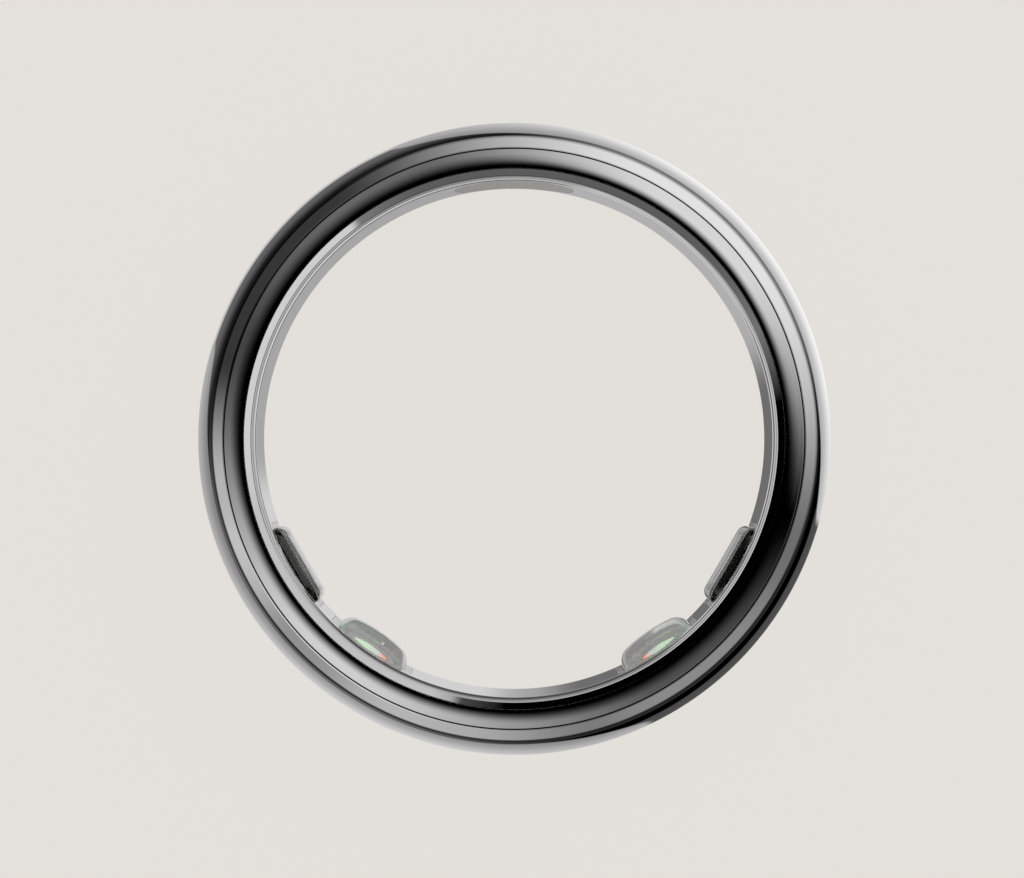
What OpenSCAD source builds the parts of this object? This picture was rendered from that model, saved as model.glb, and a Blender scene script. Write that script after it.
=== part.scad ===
// A smart ring, lying flat: its axis is Z, the bore's centre is the origin, the sensors are towards -Y.

/* [Band] */
// Diameter of the finger bore
bore_d = 20.6; // [19.6:0.1:23]
// Thickness of the band from the bore to the outside
wall = 2.4; // [2.35:0.05:2.8]
// Width of the band along the finger
band_w = 7.9; // [7.6:0.1:9]

/* [Outer shell] */
// Thickness of the hoop behind the rounded outside
shell_wall = 0.6; // [0.5:0.05:0.65]
// Radius of the rounded outer edge
roundover_r = 3; // [2.6:0.1:3.4]
// Width of the conical facet beside the seam
facet_w = 0.45; // [0.35:0.05:0.55]
// Angle of the facet's face from flat
facet_tilt = 40; // [34:1:44]
// Radius of the fine turned line at the facet's outer edge
line_r = 0.08; // [0.05:0.01:0.1]
// Distance from the band's end to the space for the battery and the board
end_depth = 1.25; // [1.2:0.05:1.35]

/* [Side rings] */
// Width of each side ring between the liner and the seam
lip_w = 0.8; // [0.76:0.02:0.84]
// Height of each side ring
lip_h = 0.9; // [0.84:0.02:0.94]
// Width of the flat land that the ring lies on
land_w = 0.15; // [0.08:0.01:0.2]
// Slope of the lip where it reaches the seam
lip_tilt = 28; // [22:1:32]
// Width of the open seam between the shell and a side ring
seam_gap = 0.04; // [0.03:0.01:0.06]
// Width of the ledge in the shell that a side ring stands on
ledge_w = 0.12; // [0.08:0.01:0.14]
// Edge break on the side ring's inner edge
edge_break = 0.03; // [0.02:0.005:0.04]

/* [Inner liner] */
// Thickness of the liner
liner_wall = 0.42; // [0.38:0.02:0.46]
// Distance from the band's end to the liner's end
liner_inset = 0.1; // [0.05:0.01:0.15]
// Slope of the flared end against the bore
flare_angle = 32; // [26:1:38]
// Radius that blends the bore into the flared end
flare_r = 1.2; // [0.8:0.1:1.5]
// Width of the liner's flat end
rim_w = 0.04; // [0.03:0.01:0.06]

/* [Lenses] */
// Angle from the lowest point of the bore to the domed lenses
dome_angle = 34.5; // [33.5:0.5:35.5]
// Angle left free between the hidden flanges of a domed and a flat lens
lens_gap_angle = 2.34; // [1.5:0.02:4.3]
// Half width of a lens foot round the bore
foot_half_w = 1.93; // [1.88:0.01:1.96]
// Distance from the band's end to the lens feet
foot_inset = 1.35; // [1.3:0.05:1.45]
// Corner radius of a lens foot
foot_corner_r = 0.6; // [0.4:0.05:0.8]
// Height of the flat lenses above the bore
flat_h = 0.57; // [0.45:0.01:0.65]
// Half width of the flat lenses
flat_half_w = 1.7; // [1.6:0.02:1.76]
// Radius of the flat lenses' shoulders
flat_shoulder_r = 0.4; // [0.3:0.02:0.45]
// Radius of the flat lenses' slight camber along the finger
flat_long_r = 20; // [15:1:40]
// Height of the domed lenses above the bore
dome_h = 0.8; // [0.7:0.02:0.85]
// Half width of the domed lenses
dome_half_w = 1.63; // [1.56:0.01:1.7]
// Radius of a dome
dome_r = 6.5; // [6:0.1:8]
// Radius of the domed lenses' shoulders
dome_shoulder_r = 0.55; // [0.4:0.05:0.7]
// Distance from the end of a foot to the end of its raised lens
raised_inset = 0.2; // [0.16:0.02:0.3]
// Corner radius of every raised lens, seen from the finger
raised_corner_r = 0.8; // [0.6:0.05:1]
// Thickness of the hidden flange that holds a lens in
flange_t = 0.18; // [0.14:0.01:0.2]
// How far the hidden flange reaches past the foot
flange_reach = 0.27; // [0.2:0.01:0.3]
// Thickness of the gaskets under the liner
gasket_t = 0.06; // [0.04:0.01:0.08]

/* [Charging window] */
// Half width of the window round the bore
window_half_w = 2.37; // [2.2:0.01:2.5]
// Distance from the band's end to the window
window_inset = 1.25; // [1.23:0.02:1.35]
// Corner radius of the window
window_corner_r = 1.6; // [1.2:0.1:1.8]

/* [Battery] */
// Angle from the right-hand side of the bore to the battery's middle
battery_angle = 152.5; // [151:0.5:153]
// Angle that the battery covers
battery_span = 72; // [60:1:73]
// Thickness of the battery
battery_t = 1.08; // [0.9:0.02:1.12]

/* [Hidden] */
$fn = 96;

// Running clearance between pieces that are glued or snapped together
fit_gap = 0.02;
// How far a cutting shape runs past what it cuts
overrun = 0.5;

// Radii of the band, from the finger outwards
bore_r = bore_d / 2;
outer_r = bore_r + wall;
half_w = band_w / 2;
liner_out_r = bore_r + liner_wall;
lip_in_r = liner_out_r + fit_gap;
lip_out_r = lip_in_r + lip_w;
shell_in_r = lip_out_r + seam_gap;
ledge_r = shell_in_r - seam_gap - ledge_w;
facet_out_r = shell_in_r + facet_w;
cavity_r = outer_r - shell_wall;
cavity_half_w = half_w - end_depth;
lip_base_z = half_w - lip_h;
foot_half_l = half_w - foot_inset;
raised_half_l = foot_half_l - raised_inset;
window_half_l = half_w - window_inset;

// The lip is an arc that leaves the flat land level and reaches the seam at its slope
land_in_r = lip_in_r + edge_break;
land_out_r = land_in_r + land_w;
lip_arc_r = (lip_out_r - land_out_r) / sin(lip_tilt);
lip_drop = lip_arc_r * (1 - cos(lip_tilt));

// The facet starts at the seam's depth, and the rounded edge starts where the facet ends
facet_in_z = half_w - lip_drop - seam_gap * tan(lip_tilt);
facet_out_z = facet_in_z - facet_w * tan(facet_tilt);
roundover_x = outer_r - roundover_r;
roundover_z = facet_out_z - sqrt(pow(roundover_r, 2) - pow(facet_out_r - roundover_x, 2));

// The liner's flared end: a straight chamfer that an arc blends into the bore
liner_half_w = half_w - liner_inset;
flare_blend = flare_r * tan(flare_angle / 2);
flare_corner_z = liner_half_w - (liner_wall - rim_w) / tan(flare_angle);
flare_start_z = flare_corner_z - flare_blend;
flare_touch_r = bore_r + flare_r * (1 - cos(flare_angle));
flare_touch_z = flare_start_z + flare_r * sin(flare_angle);

// Round-section seals in their grooves
seal_r = 0.1;
groove_slack = 0.02;
seal_height_share = 0.3;
seal_z = lip_base_z + seal_height_share * lip_h;

// Radii of the layers under the liner
gasket_in_r = liner_out_r + fit_gap / 2;
flange_in_r = liner_out_r + gasket_t;
flange_out_r = flange_in_r + flange_t;
dam_h = 0.37;
flex_t = 0.12;
board_end_gap = 0.15;
board_half_l = cavity_half_w - board_end_gap;
flex_in_r = flange_out_r + dam_h;
flex_out_r = flex_in_r + flex_t;
flex_end_angle = 104;
turn_angle = 360;
dam_w = 0.3;

// Where the lenses and the window sit, as angles from the right-hand side
bottom_angle = -90;
flange_half_angle = asin((foot_half_w + flange_reach) / flange_out_r);
flat_angle = dome_angle + 2 * flange_half_angle + lens_gap_angle;
right_flat_angle = bottom_angle + flat_angle;
left_flat_angle = bottom_angle - flat_angle;
right_dome_angle = bottom_angle + dome_angle;
left_dome_angle = bottom_angle - dome_angle;
dome_angles = [left_dome_angle, right_dome_angle];
flat_angles = [left_flat_angle, right_flat_angle];
lens_angles = concat(dome_angles, flat_angles);
window_angle = 90;

// Light emitters and photodiodes: across the board, along the finger, thick
green_size = [1.2, 2.6, 0.22];
green_offset = 0.42;
red_size = [0.5, 1.2, 0.2];
infrared_size = [0.5, 1.2, 0.2];
red_offset = 0.9;
emitter_spacing = 0.7;
diode_side_gap = 0.38;
diode_end_gap = 0.55;
diode_t = 0.2;
diode_size = [
    2 * (foot_half_w - dam_w - diode_side_gap),
    2 * (board_half_l - dam_w - diode_end_gap),
    diode_t
];

// Chips on the outside of the board: across the board, along the finger, thick, and the angle of each
radio_size = [2.4, 2.6, 0.48];
radio_angle = 22;
optical_size = [2, 2.2, 0.45];
optical_angle = -90;
power_size = [1.9, 1.9, 0.45];
power_angle = 41;
charging_size = [1.8, 2, 0.45];
charging_angle = 56.5;
motion_size = [2, 2.4, 0.5];
motion_angle = 4;
memory_size = [1.6, 2.2, 0.42];
memory_angle = -12;
crystal_size = [1.2, 1, 0.35];
crystal_angle = 32;
capacitor_size = [0.3, 0.6, 0.3];
capacitor_angles = [-150, -146, -126, -122, -104, -76, -58, -54, -34, -29, -22, 13, 48, 64, 68];
capacitor_lane_shares = [-0.6, 0.6];
inductor_size = [1, 1.3, 0.5];
inductor_angles = [-64, -44, 74, 82];
sensor_w = 0.9;
sensor_size = [sensor_w, sensor_w, flex_in_r - liner_out_r - 3 * fit_gap];
side_sensor_angle = 40;
sensor_angles = [bottom_angle, side_sensor_angle];
pocket_gap = 0.03;
resin_end_gap = 0.1;
resin_half_l = cavity_half_w - resin_end_gap;

// Stiffeners are strips under the board between the lenses
stiffener_t = 0.15;
stiffener_inset = 0.35;
stiffener_half_l = board_half_l - stiffener_inset;
sensor_clear_angle = 6;
last_stiffener_angle = 66;
barrier_clear_angle = 0.4;
barrier_angle = asin(foot_half_w / flange_out_r) + barrier_clear_angle;
stiffener_span_angles = [
    [left_flat_angle + barrier_angle, left_dome_angle - barrier_angle],
    [left_dome_angle + barrier_angle, bottom_angle - sensor_clear_angle],
    [bottom_angle + sensor_clear_angle, right_dome_angle - barrier_angle],
    [right_dome_angle + barrier_angle, right_flat_angle - barrier_angle],
    [right_flat_angle + barrier_angle, side_sensor_angle - sensor_clear_angle],
    [side_sensor_angle + sensor_clear_angle, last_stiffener_angle]
];

// Antenna, charging coil and the ferrite behind it
antenna_t = 0.06;
antenna_w = 0.7;
antenna_start_angle = 87;
antenna_end_angle = 103;
coil_t = 0.1;
coil_side_gap = 0.07;
coil_end_gap = 0.4;
coil_half_w = window_half_w - coil_side_gap;
coil_half_l = window_half_l - coil_end_gap;
coil_track = 0.9;
coil_corner_r = 1;
ferrite_t = 0.12;

// Battery, its circuit board, tabs and adhesive pads, and where the flexible board starts beside them
battery_end_gap = 0.1;
battery_half_l = cavity_half_w - battery_end_gap;
pad_t = 0.08;
battery_out_r = cavity_r - pad_t - 2 * fit_gap;
battery_in_r = battery_out_r - battery_t;
battery_start_angle = battery_angle - battery_span / 2;
battery_end_angle = battery_angle + battery_span / 2;
protect_gap_angle = 0.2;
protect_span_angle = 1.3;
protect_start_angle = battery_end_angle + protect_gap_angle;
protect_end_angle = protect_start_angle + protect_span_angle;
flex_gap_angle = 2;
flex_start_angle = protect_end_angle + flex_gap_angle - turn_angle;
protect_inset = 0.3;
protect_half_l = battery_half_l - protect_inset;
tab_gap_angle = 0.1;
tab_lap_angle = 1;
tab_start_angle = protect_end_angle + tab_gap_angle;
tab_end_angle = turn_angle + flex_start_angle + tab_lap_angle;
tab_t = 0.1;
tab_w = 0.8;
tab_inset = 0.85;
tab_offset = board_half_l - tab_w / 2 - tab_inset;
pad_span_shares = [[-0.42, -0.1], [0.1, 0.42]];
resin_back_angle = 4;
resin_gap_angle = 1;
resin_start_angle = flex_start_angle + resin_back_angle;
resin_end_angle = antenna_start_angle - resin_gap_angle;

// Turns to an angle, where X points outwards, Y round the band and Z along the finger
module at_angle(angle) {
    rotate([0, 0, angle]) children();
}

module mirrored_ends() {
    children();
    mirror([0, 0, 1]) children();
}

module rounded_rect(half_x, half_y, corner_r) {
    square([2 * (half_x - corner_r), 2 * half_y], center = true);
    square([2 * half_x, 2 * (half_y - corner_r)], center = true);
    for (x = [-1, 1], y = [-1, 1])
        translate([x * (half_x - corner_r), y * (half_y - corner_r)])
            circle(corner_r, $fn = 48);
}

// A rounded rectangle seen from the finger, as a block between two distances from the axis
module radial_block(half_x, half_l, corner_r, from_r, to_r) {
    translate([from_r, 0, 0])
        rotate([90, 0, 90])
            linear_extrude(to_r - from_r)
                rounded_rect(half_x, half_l, corner_r);
}

module hoop(in_r, out_r, half_l) {
    difference() {
        cylinder(h = 2 * half_l, r = out_r, center = true);
        cylinder(h = 2 * (half_l + overrun), r = in_r, center = true);
    }
}

// Part of a flat-ended hoop, between two angles
module band(in_r, out_r, half_l, from, to) {
    reach = 2 * out_r;
    steps = 8;
    corners = [for (i = [0:steps]) from + (to - from) * i / steps];
    linear_extrude(2 * half_l, center = true)
        intersection() {
            difference() {
                circle(out_r);
                circle(in_r);
            }
            polygon(concat([[0, 0]], [for (a = corners) [reach * cos(a), reach * sin(a)]]));
        }
}

// A rounded rectangle that follows the band's curve between two radii
module curved_block(half_x, half_l, corner_r, in_r, out_r) {
    intersection() {
        hoop(in_r, out_r, half_l + overrun);
        radial_block(half_x, half_l, corner_r, in_r - 2 * overrun, out_r + overrun);
    }
}

// A flat part on the outside of the board
module outside_part(size, angle, grow = 0) {
    seat_r = flex_out_r + fit_gap;
    at_angle(angle)
        translate([seat_r - grow, -size[0] / 2 - grow, -size[1] / 2 - grow])
            cube([size[2] + grow, size[0] + 2 * grow, size[1] + 2 * grow]);
}

// A flat part on the inside of the board, which curves away from it, so its back stands off by the arc's rise
module inside_part(size, angle, side = 0, lane = 0) {
    reach_y = abs(side) + size[0] / 2;
    seat_r = sqrt(pow(flex_in_r, 2) - pow(reach_y, 2)) - fit_gap;
    at_angle(angle)
        translate([seat_r - size[2], side - size[0] / 2, lane - size[1] / 2])
            cube([size[2], size[0], size[1]]);
}

module shell_section() {
    difference() {
        union() {
            translate([ledge_r, 0]) square([outer_r - ledge_r, roundover_z]);
            intersection() {
                translate([roundover_x, roundover_z]) circle(roundover_r);
                translate([facet_out_r, roundover_z])
                    square([outer_r - facet_out_r, facet_out_z - roundover_z]);
            }
            translate([ledge_r, roundover_z])
                square([facet_out_r - ledge_r, facet_out_z - roundover_z]);
            polygon([
                [shell_in_r, facet_out_z],
                [facet_out_r, facet_out_z],
                [shell_in_r, facet_in_z]
            ]);
        }
        translate([ledge_r - overrun, -overrun])
            square([cavity_r - ledge_r + overrun, cavity_half_w + overrun]);
        translate([ledge_r - overrun, lip_base_z - fit_gap])
            square([shell_in_r - ledge_r + overrun, half_w - lip_base_z]);
        translate([facet_out_r, facet_out_z]) circle(line_r, $fn = 48);
    }
}

module outer_shell() {
    color("silver")
        rotate_extrude()
            union() {
                shell_section();
                mirror([0, 1]) shell_section();
            }
}

module side_ring_section() {
    difference() {
        union() {
            translate([lip_in_r, lip_base_z])
                square([land_out_r - lip_in_r, lip_h]);
            intersection() {
                translate([land_out_r, half_w - lip_arc_r]) circle(lip_arc_r);
                translate([land_out_r, lip_base_z]) square([lip_out_r - land_out_r, lip_h]);
            }
        }
        polygon([
            [lip_in_r - overrun, half_w - edge_break - overrun],
            [land_in_r + overrun, half_w + overrun],
            [lip_in_r - overrun, half_w + overrun]
        ]);
        translate([lip_in_r - overrun, seal_z - seal_r - groove_slack])
            square([overrun + 2 * seal_r, 2 * (seal_r + groove_slack)]);
        translate([lip_out_r + seam_gap - 2 * seal_r - groove_slack, seal_z - seal_r - groove_slack])
            square([overrun, 2 * (seal_r + groove_slack)]);
    }
}

module side_ring() {
    color("silver") rotate_extrude() side_ring_section();
}

module front_side_ring() {
    side_ring();
}

module rear_side_ring() {
    mirror([0, 0, 1]) side_ring();
}

module seal(centre_r) {
    color("black")
        rotate_extrude()
            translate([centre_r, seal_z]) circle(seal_r, $fn = 24);
}

module front_seal() {
    seal(shell_in_r - seal_r);
}

module rear_seal() {
    mirror([0, 0, 1]) seal(shell_in_r - seal_r);
}

module front_liner_seal() {
    seal(liner_out_r + seal_r);
}

module rear_liner_seal() {
    mirror([0, 0, 1]) seal(liner_out_r + seal_r);
}

module liner_section() {
    translate([bore_r, 0]) square([liner_wall, flare_start_z]);
    intersection() {
        translate([bore_r + flare_r, flare_start_z]) circle(flare_r);
        translate([bore_r, flare_start_z]) square([liner_wall, flare_touch_z - flare_start_z]);
    }
    polygon([
        [flare_touch_r, flare_touch_z],
        [liner_out_r, flare_touch_z],
        [liner_out_r, liner_half_w],
        [liner_out_r - rim_w, liner_half_w]
    ]);
}

// The liner's solid before its pockets are cut
module liner_blank() {
    rotate_extrude()
        union() {
            liner_section();
            mirror([0, 1]) liner_section();
        }
}

module inner_liner() {
    color("gainsboro")
        difference() {
            liner_blank();
            for (angle = lens_angles)
                at_angle(angle)
                    radial_block(foot_half_w + fit_gap, foot_half_l + fit_gap, foot_corner_r + fit_gap,
                        bore_r - 2 * overrun, liner_out_r + overrun);
            at_angle(window_angle)
                radial_block(window_half_w + fit_gap, window_half_l + fit_gap, window_corner_r + fit_gap,
                    bore_r - 2 * overrun, liner_out_r + overrun);
        }
}

// The flush foot and the hidden flange that every lens has
module lens_base(half_x, half_l, corner_r) {
    curved_block(half_x, half_l, corner_r, bore_r, flange_in_r + flange_t / 2);
    curved_block(half_x + flange_reach, half_l + flange_reach, corner_r, flange_in_r, flange_out_r);
}

// The raised glass: its outlines across and along the finger and from the finger, intersected
module raised_lens(height, half_x, shoulder_r) {
    crest_r = bore_r - height;
    depth = flange_in_r - crest_r;
    middle_r = crest_r + depth / 2;
    intersection() {
        linear_extrude(2 * raised_half_l, center = true)
            translate([middle_r, 0]) rounded_rect(depth / 2, half_x, shoulder_r);
        rotate([90, 0, 0])
            linear_extrude(2 * half_x, center = true)
                translate([middle_r, 0]) rounded_rect(depth / 2, raised_half_l, shoulder_r);
        radial_block(half_x, raised_half_l, raised_corner_r, crest_r - overrun, flange_in_r);
        children();
    }
}

module flat_lens() {
    color("lightgray")
        union() {
            lens_base(foot_half_w, foot_half_l, foot_corner_r);
            raised_lens(flat_h, flat_half_w, flat_shoulder_r)
                translate([bore_r - flat_h + flat_long_r, 0, 0])
                    rotate([90, 0, 0])
                        cylinder(h = 2 * foot_half_w, r = flat_long_r, center = true);
        }
}

module dome_lens() {
    color("lightgray")
        union() {
            lens_base(foot_half_w, foot_half_l, foot_corner_r);
            raised_lens(dome_h, dome_half_w, dome_shoulder_r)
                translate([bore_r - dome_h + dome_r, 0, 0]) sphere(dome_r);
        }
}

module left_flat_lens() {
    at_angle(left_flat_angle) flat_lens();
}

module right_flat_lens() {
    at_angle(right_flat_angle) flat_lens();
}

module left_dome_lens() {
    at_angle(left_dome_angle) dome_lens();
}

module right_dome_lens() {
    at_angle(right_dome_angle) dome_lens();
}

module charging_window() {
    color("darkgray")
        at_angle(window_angle)
            lens_base(window_half_w, window_half_l, window_corner_r);
}

// A flat frame between the liner and a flange
module gasket(half_x, half_l, corner_r) {
    color("dimgray")
        difference() {
            curved_block(half_x + flange_reach, half_l + flange_reach, corner_r,
                gasket_in_r, flange_in_r);
            radial_block(half_x + fit_gap, half_l + fit_gap, corner_r + fit_gap,
                bore_r - 2 * overrun, flange_out_r + overrun);
        }
}

module lens_gaskets() {
    for (angle = lens_angles)
        at_angle(angle) gasket(foot_half_w, foot_half_l, foot_corner_r);
}

module window_gasket() {
    at_angle(window_angle) gasket(window_half_w, window_half_l, window_corner_r);
}

// Black frames that keep the emitters' light out of the photodiodes, from each lens to the board
module light_barriers() {
    color("black")
        for (angle = lens_angles)
            at_angle(angle)
                difference() {
                    curved_block(foot_half_w, board_half_l, foot_corner_r,
                        flange_out_r + fit_gap, flex_in_r - fit_gap);
                    radial_block(foot_half_w - dam_w, board_half_l - dam_w, foot_corner_r - dam_w / 2,
                        bore_r - 2 * overrun, flex_out_r + overrun);
                }
}

// The side of a dome's middle on which an emitter sits: the red ones lie nearer the ring's lowest point
function side_of(angle) = angle > bottom_angle ? 1 : -1;

module green_leds() {
    color("palegreen")
        for (angle = dome_angles)
            inside_part(green_size, angle, side_of(angle) * green_offset);
}

module red_leds() {
    color("orangered")
        for (angle = dome_angles)
            inside_part(red_size, angle, -side_of(angle) * red_offset, emitter_spacing);
}

module infrared_leds() {
    color("indigo")
        for (angle = dome_angles)
            inside_part(infrared_size, angle, -side_of(angle) * red_offset, -emitter_spacing);
}

module photodiodes() {
    color("black")
        for (angle = flat_angles)
            inside_part(diode_size, angle);
}

module flex_board() {
    color("darkgoldenrod") band(flex_in_r, flex_out_r, board_half_l, flex_start_angle, flex_end_angle);
}

module flex_stiffeners() {
    color("goldenrod")
        for (span = stiffener_span_angles)
            band(flex_in_r - fit_gap - stiffener_t, flex_in_r - fit_gap, stiffener_half_l,
                span[0], span[1]);
}

module radio_chip() {
    color("dimgray") outside_part(radio_size, radio_angle);
}

module optical_chip() {
    color("dimgray") outside_part(optical_size, optical_angle);
}

module power_chip() {
    color("dimgray") outside_part(power_size, power_angle);
}

module charging_chip() {
    color("dimgray") outside_part(charging_size, charging_angle);
}

module motion_sensor() {
    color("dimgray") outside_part(motion_size, motion_angle);
}

module memory_chip() {
    color("dimgray") outside_part(memory_size, memory_angle);
}

module clock_crystal() {
    color("lightsteelblue") outside_part(crystal_size, crystal_angle);
}

// One part in each of two lanes, at each angle along the board
module capacitor_at(angle, share, grow = 0) {
    translate([0, 0, share * board_half_l]) outside_part(capacitor_size, angle, grow);
}

module chip_capacitors() {
    color("tan")
        for (angle = capacitor_angles, share = capacitor_lane_shares)
            capacitor_at(angle, share);
}

module chip_inductors() {
    color("slategray")
        for (angle = inductor_angles)
            outside_part(inductor_size, angle);
}

// The sensors reach from the board to the liner, whose warmth they read
module temperature_sensors() {
    color("dimgray")
        for (angle = sensor_angles)
            inside_part(sensor_size, angle);
}

module antenna() {
    color("orange")
        for (side = [-1, 1])
            translate([0, 0, side * (board_half_l - antenna_w / 2)])
                band(flex_out_r + fit_gap, flex_out_r + fit_gap + antenna_t, antenna_w / 2,
                    antenna_start_angle, antenna_end_angle);
}

// The wound coil is one closed frame behind the window
module charging_coil() {
    in_r = flange_out_r + fit_gap;
    color("peru")
        at_angle(window_angle)
            difference() {
                curved_block(coil_half_w, coil_half_l, coil_corner_r, in_r, in_r + coil_t);
                radial_block(coil_half_w - coil_track, coil_half_l - coil_track, coil_corner_r / 2,
                    bore_r - 2 * overrun, flex_out_r + overrun);
            }
}

module coil_ferrite() {
    in_r = flange_out_r + coil_t + 2 * fit_gap;
    color("darkslategray")
        at_angle(window_angle)
            curved_block(coil_half_w, coil_half_l, coil_corner_r, in_r, in_r + ferrite_t);
}

module battery_cell() {
    color("steelblue")
        band(battery_in_r, battery_out_r, battery_half_l, battery_start_angle, battery_end_angle);
}

// The circuit board stands across the battery's lower end, and the tabs join it to the board
module battery_board() {
    color("seagreen")
        band(battery_in_r, battery_out_r, protect_half_l, protect_start_angle, protect_end_angle);
}

module battery_tabs() {
    color("silver")
        for (side = [-1, 1])
            translate([0, 0, side * tab_offset])
                band(flex_out_r + fit_gap, flex_out_r + fit_gap + tab_t, tab_w / 2,
                    tab_start_angle, tab_end_angle);
}

module battery_pads() {
    color("whitesmoke")
        for (shares = pad_span_shares)
            band(battery_out_r + fit_gap, cavity_r - fit_gap, board_half_l,
                battery_angle + shares[0] * battery_span, battery_angle + shares[1] * battery_span);
}

// The resin band between the board and the shell, with a pocket round each part
module potting_resin() {
    color("darkslateblue")
        difference() {
            band(flex_out_r + fit_gap, cavity_r - fit_gap, resin_half_l, resin_start_angle, resin_end_angle);
            outside_pocket(radio_size, radio_angle);
            outside_pocket(optical_size, optical_angle);
            outside_pocket(power_size, power_angle);
            outside_pocket(charging_size, charging_angle);
            outside_pocket(motion_size, motion_angle);
            outside_pocket(memory_size, memory_angle);
            outside_pocket(crystal_size, crystal_angle);
            for (angle = inductor_angles)
                outside_pocket(inductor_size, angle);
            for (angle = capacitor_angles, share = capacitor_lane_shares)
                capacitor_at(angle, share, pocket_gap);
        }
}

module outside_pocket(size, angle) {
    outside_part(size, angle, pocket_gap);
}

outer_shell();
front_side_ring();
rear_side_ring();
inner_liner();
front_seal();
rear_seal();
front_liner_seal();
rear_liner_seal();
left_flat_lens();
right_flat_lens();
left_dome_lens();
right_dome_lens();
charging_window();
lens_gaskets();
window_gasket();
light_barriers();
green_leds();
red_leds();
infrared_leds();
photodiodes();
flex_board();
flex_stiffeners();
radio_chip();
optical_chip();
power_chip();
charging_chip();
motion_sensor();
memory_chip();
clock_crystal();
chip_capacitors();
chip_inductors();
temperature_sensors();
antenna();
charging_coil();
coil_ferrite();
battery_cell();
battery_tabs();
battery_board();
battery_pads();
potting_resin();
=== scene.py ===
"""A smart ring that lies on a pale studio floor, seen along its axis.

Every length is in metres and lies in the part's own frame: Z is the ring's axis, Y points to the charging
window and the sensor lenses are towards -Y.
"""

import math

import bmesh
import bpy
from bpy.props import FloatProperty, FloatVectorProperty, IntProperty, PointerProperty
from bpy.types import Operator, Panel, PropertyGroup
from mathutils import Matrix, Vector


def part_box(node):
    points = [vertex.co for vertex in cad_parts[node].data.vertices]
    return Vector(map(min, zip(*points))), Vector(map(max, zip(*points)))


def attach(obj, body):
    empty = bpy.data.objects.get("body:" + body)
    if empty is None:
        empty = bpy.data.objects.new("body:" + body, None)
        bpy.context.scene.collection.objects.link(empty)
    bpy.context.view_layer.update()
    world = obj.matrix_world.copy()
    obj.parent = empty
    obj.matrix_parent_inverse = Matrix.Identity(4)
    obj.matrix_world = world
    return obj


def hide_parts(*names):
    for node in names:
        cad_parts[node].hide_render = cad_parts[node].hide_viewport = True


bl_info = {
    "name": "Smart ring",
    "version": (1, 0, 0),
    "blender": (4, 5, 0),
    "location": "3D View > Sidebar > Smart ring",
    "description": "Turned metal finger ring with clear sensor lenses, and the studio it is shown in",
    "category": "Add Mesh",
}

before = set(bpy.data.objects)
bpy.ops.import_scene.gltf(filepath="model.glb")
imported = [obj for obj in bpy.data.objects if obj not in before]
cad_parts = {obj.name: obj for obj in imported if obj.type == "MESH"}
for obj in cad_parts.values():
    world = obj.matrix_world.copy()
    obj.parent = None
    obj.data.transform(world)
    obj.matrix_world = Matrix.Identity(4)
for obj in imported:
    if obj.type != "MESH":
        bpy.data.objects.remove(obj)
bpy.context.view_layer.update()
MM = 0.001
ROOT = "root"
QUARTER = math.pi / 2
SHELL_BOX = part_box("outer_shell")
LIP_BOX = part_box("front_side_ring")

# Node types that come up again and again
MATH, VECTOR, RAMP = "ShaderNodeMath", "ShaderNodeVectorMath", "ShaderNodeMapRange"
MIX, NOISE, BUMP, PLACE = "ShaderNodeMix", "ShaderNodeTexNoise", "ShaderNodeBump", "ShaderNodeTexCoord"
# A noise texture's usual lowest and highest value
NOISE_RANGE = (0.3, 0.7)

# Steps on the arcs of the turned sections
ROUNDOVER_STEPS, SOFT_EDGE_STEPS, LIP_STEPS, SEAM_EDGE_STEPS, BLEND_STEPS = 34, 10, 26, 18, 20
# Steps on a lens outline's corners and on its sides round the bore and along the finger, and rings of a lens
CORNER_STEPS, SIDE_STEPS = 12, (14, 22)
CREST_RINGS, SHOULDER_RINGS, WINDOW_RINGS = 18, 18, 20

# The seal grooves of a side ring, and how far below the facet the shell steps back to the seal's seat
GROOVE_HALF, GROOVE_DEPTH, SEAT_STEP = 0.12 * MM, 0.2 * MM, 0.2 * MM
# The flange that holds a lens or the window behind the sleeve: its near and far face from the sleeve's back,
# and how far it stands out
FLANGE_TOP, FLANGE_BACK, FLANGE_WIDTH = 0.06 * MM, 0.24 * MM, 0.27 * MM
# The black barrier under a lens: its top from the sleeve's back, its half length outside and inside, how far
# its walls stand in from the lens foot's outline, and how much sharper its corners are
BARRIER_TOP, BARRIER_HALF, WELL_HALF = 0.27 * MM, 2.56 * MM, 2.265 * MM
WELL_INSET, WELL_SHARPER = 0.285 * MM, 0.15 * MM
# The board's face, outwards from the bore
BOARD_FACE = 1.035 * MM


def linear(hex_colour):
    """Turns an sRGB hex colour into the linear values that Blender's shaders take."""
    channels = [int(hex_colour[i:i + 2], 16) / 255 for i in (1, 3, 5)]
    return tuple(c / 12.92 if c <= 0.04045 else ((c + 0.055) / 1.055) ** 2.4 for c in channels)


def length(name, description, size):
    """A length property, given in millimetres."""
    return FloatProperty(
        name=name, description=description, default=size * MM, min=0, unit="LENGTH", precision=6
    )


def angle(name, description, degrees):
    """An angle property, given in degrees."""
    return FloatProperty(name=name, description=description, default=math.radians(degrees), unit="ROTATION")


def colour(name, description, hex_colour):
    """A colour property, given as sRGB hex."""
    return FloatVectorProperty(
        name=name, description=description, default=linear(hex_colour), min=0, max=1, size=3, subtype="COLOR"
    )


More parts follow.
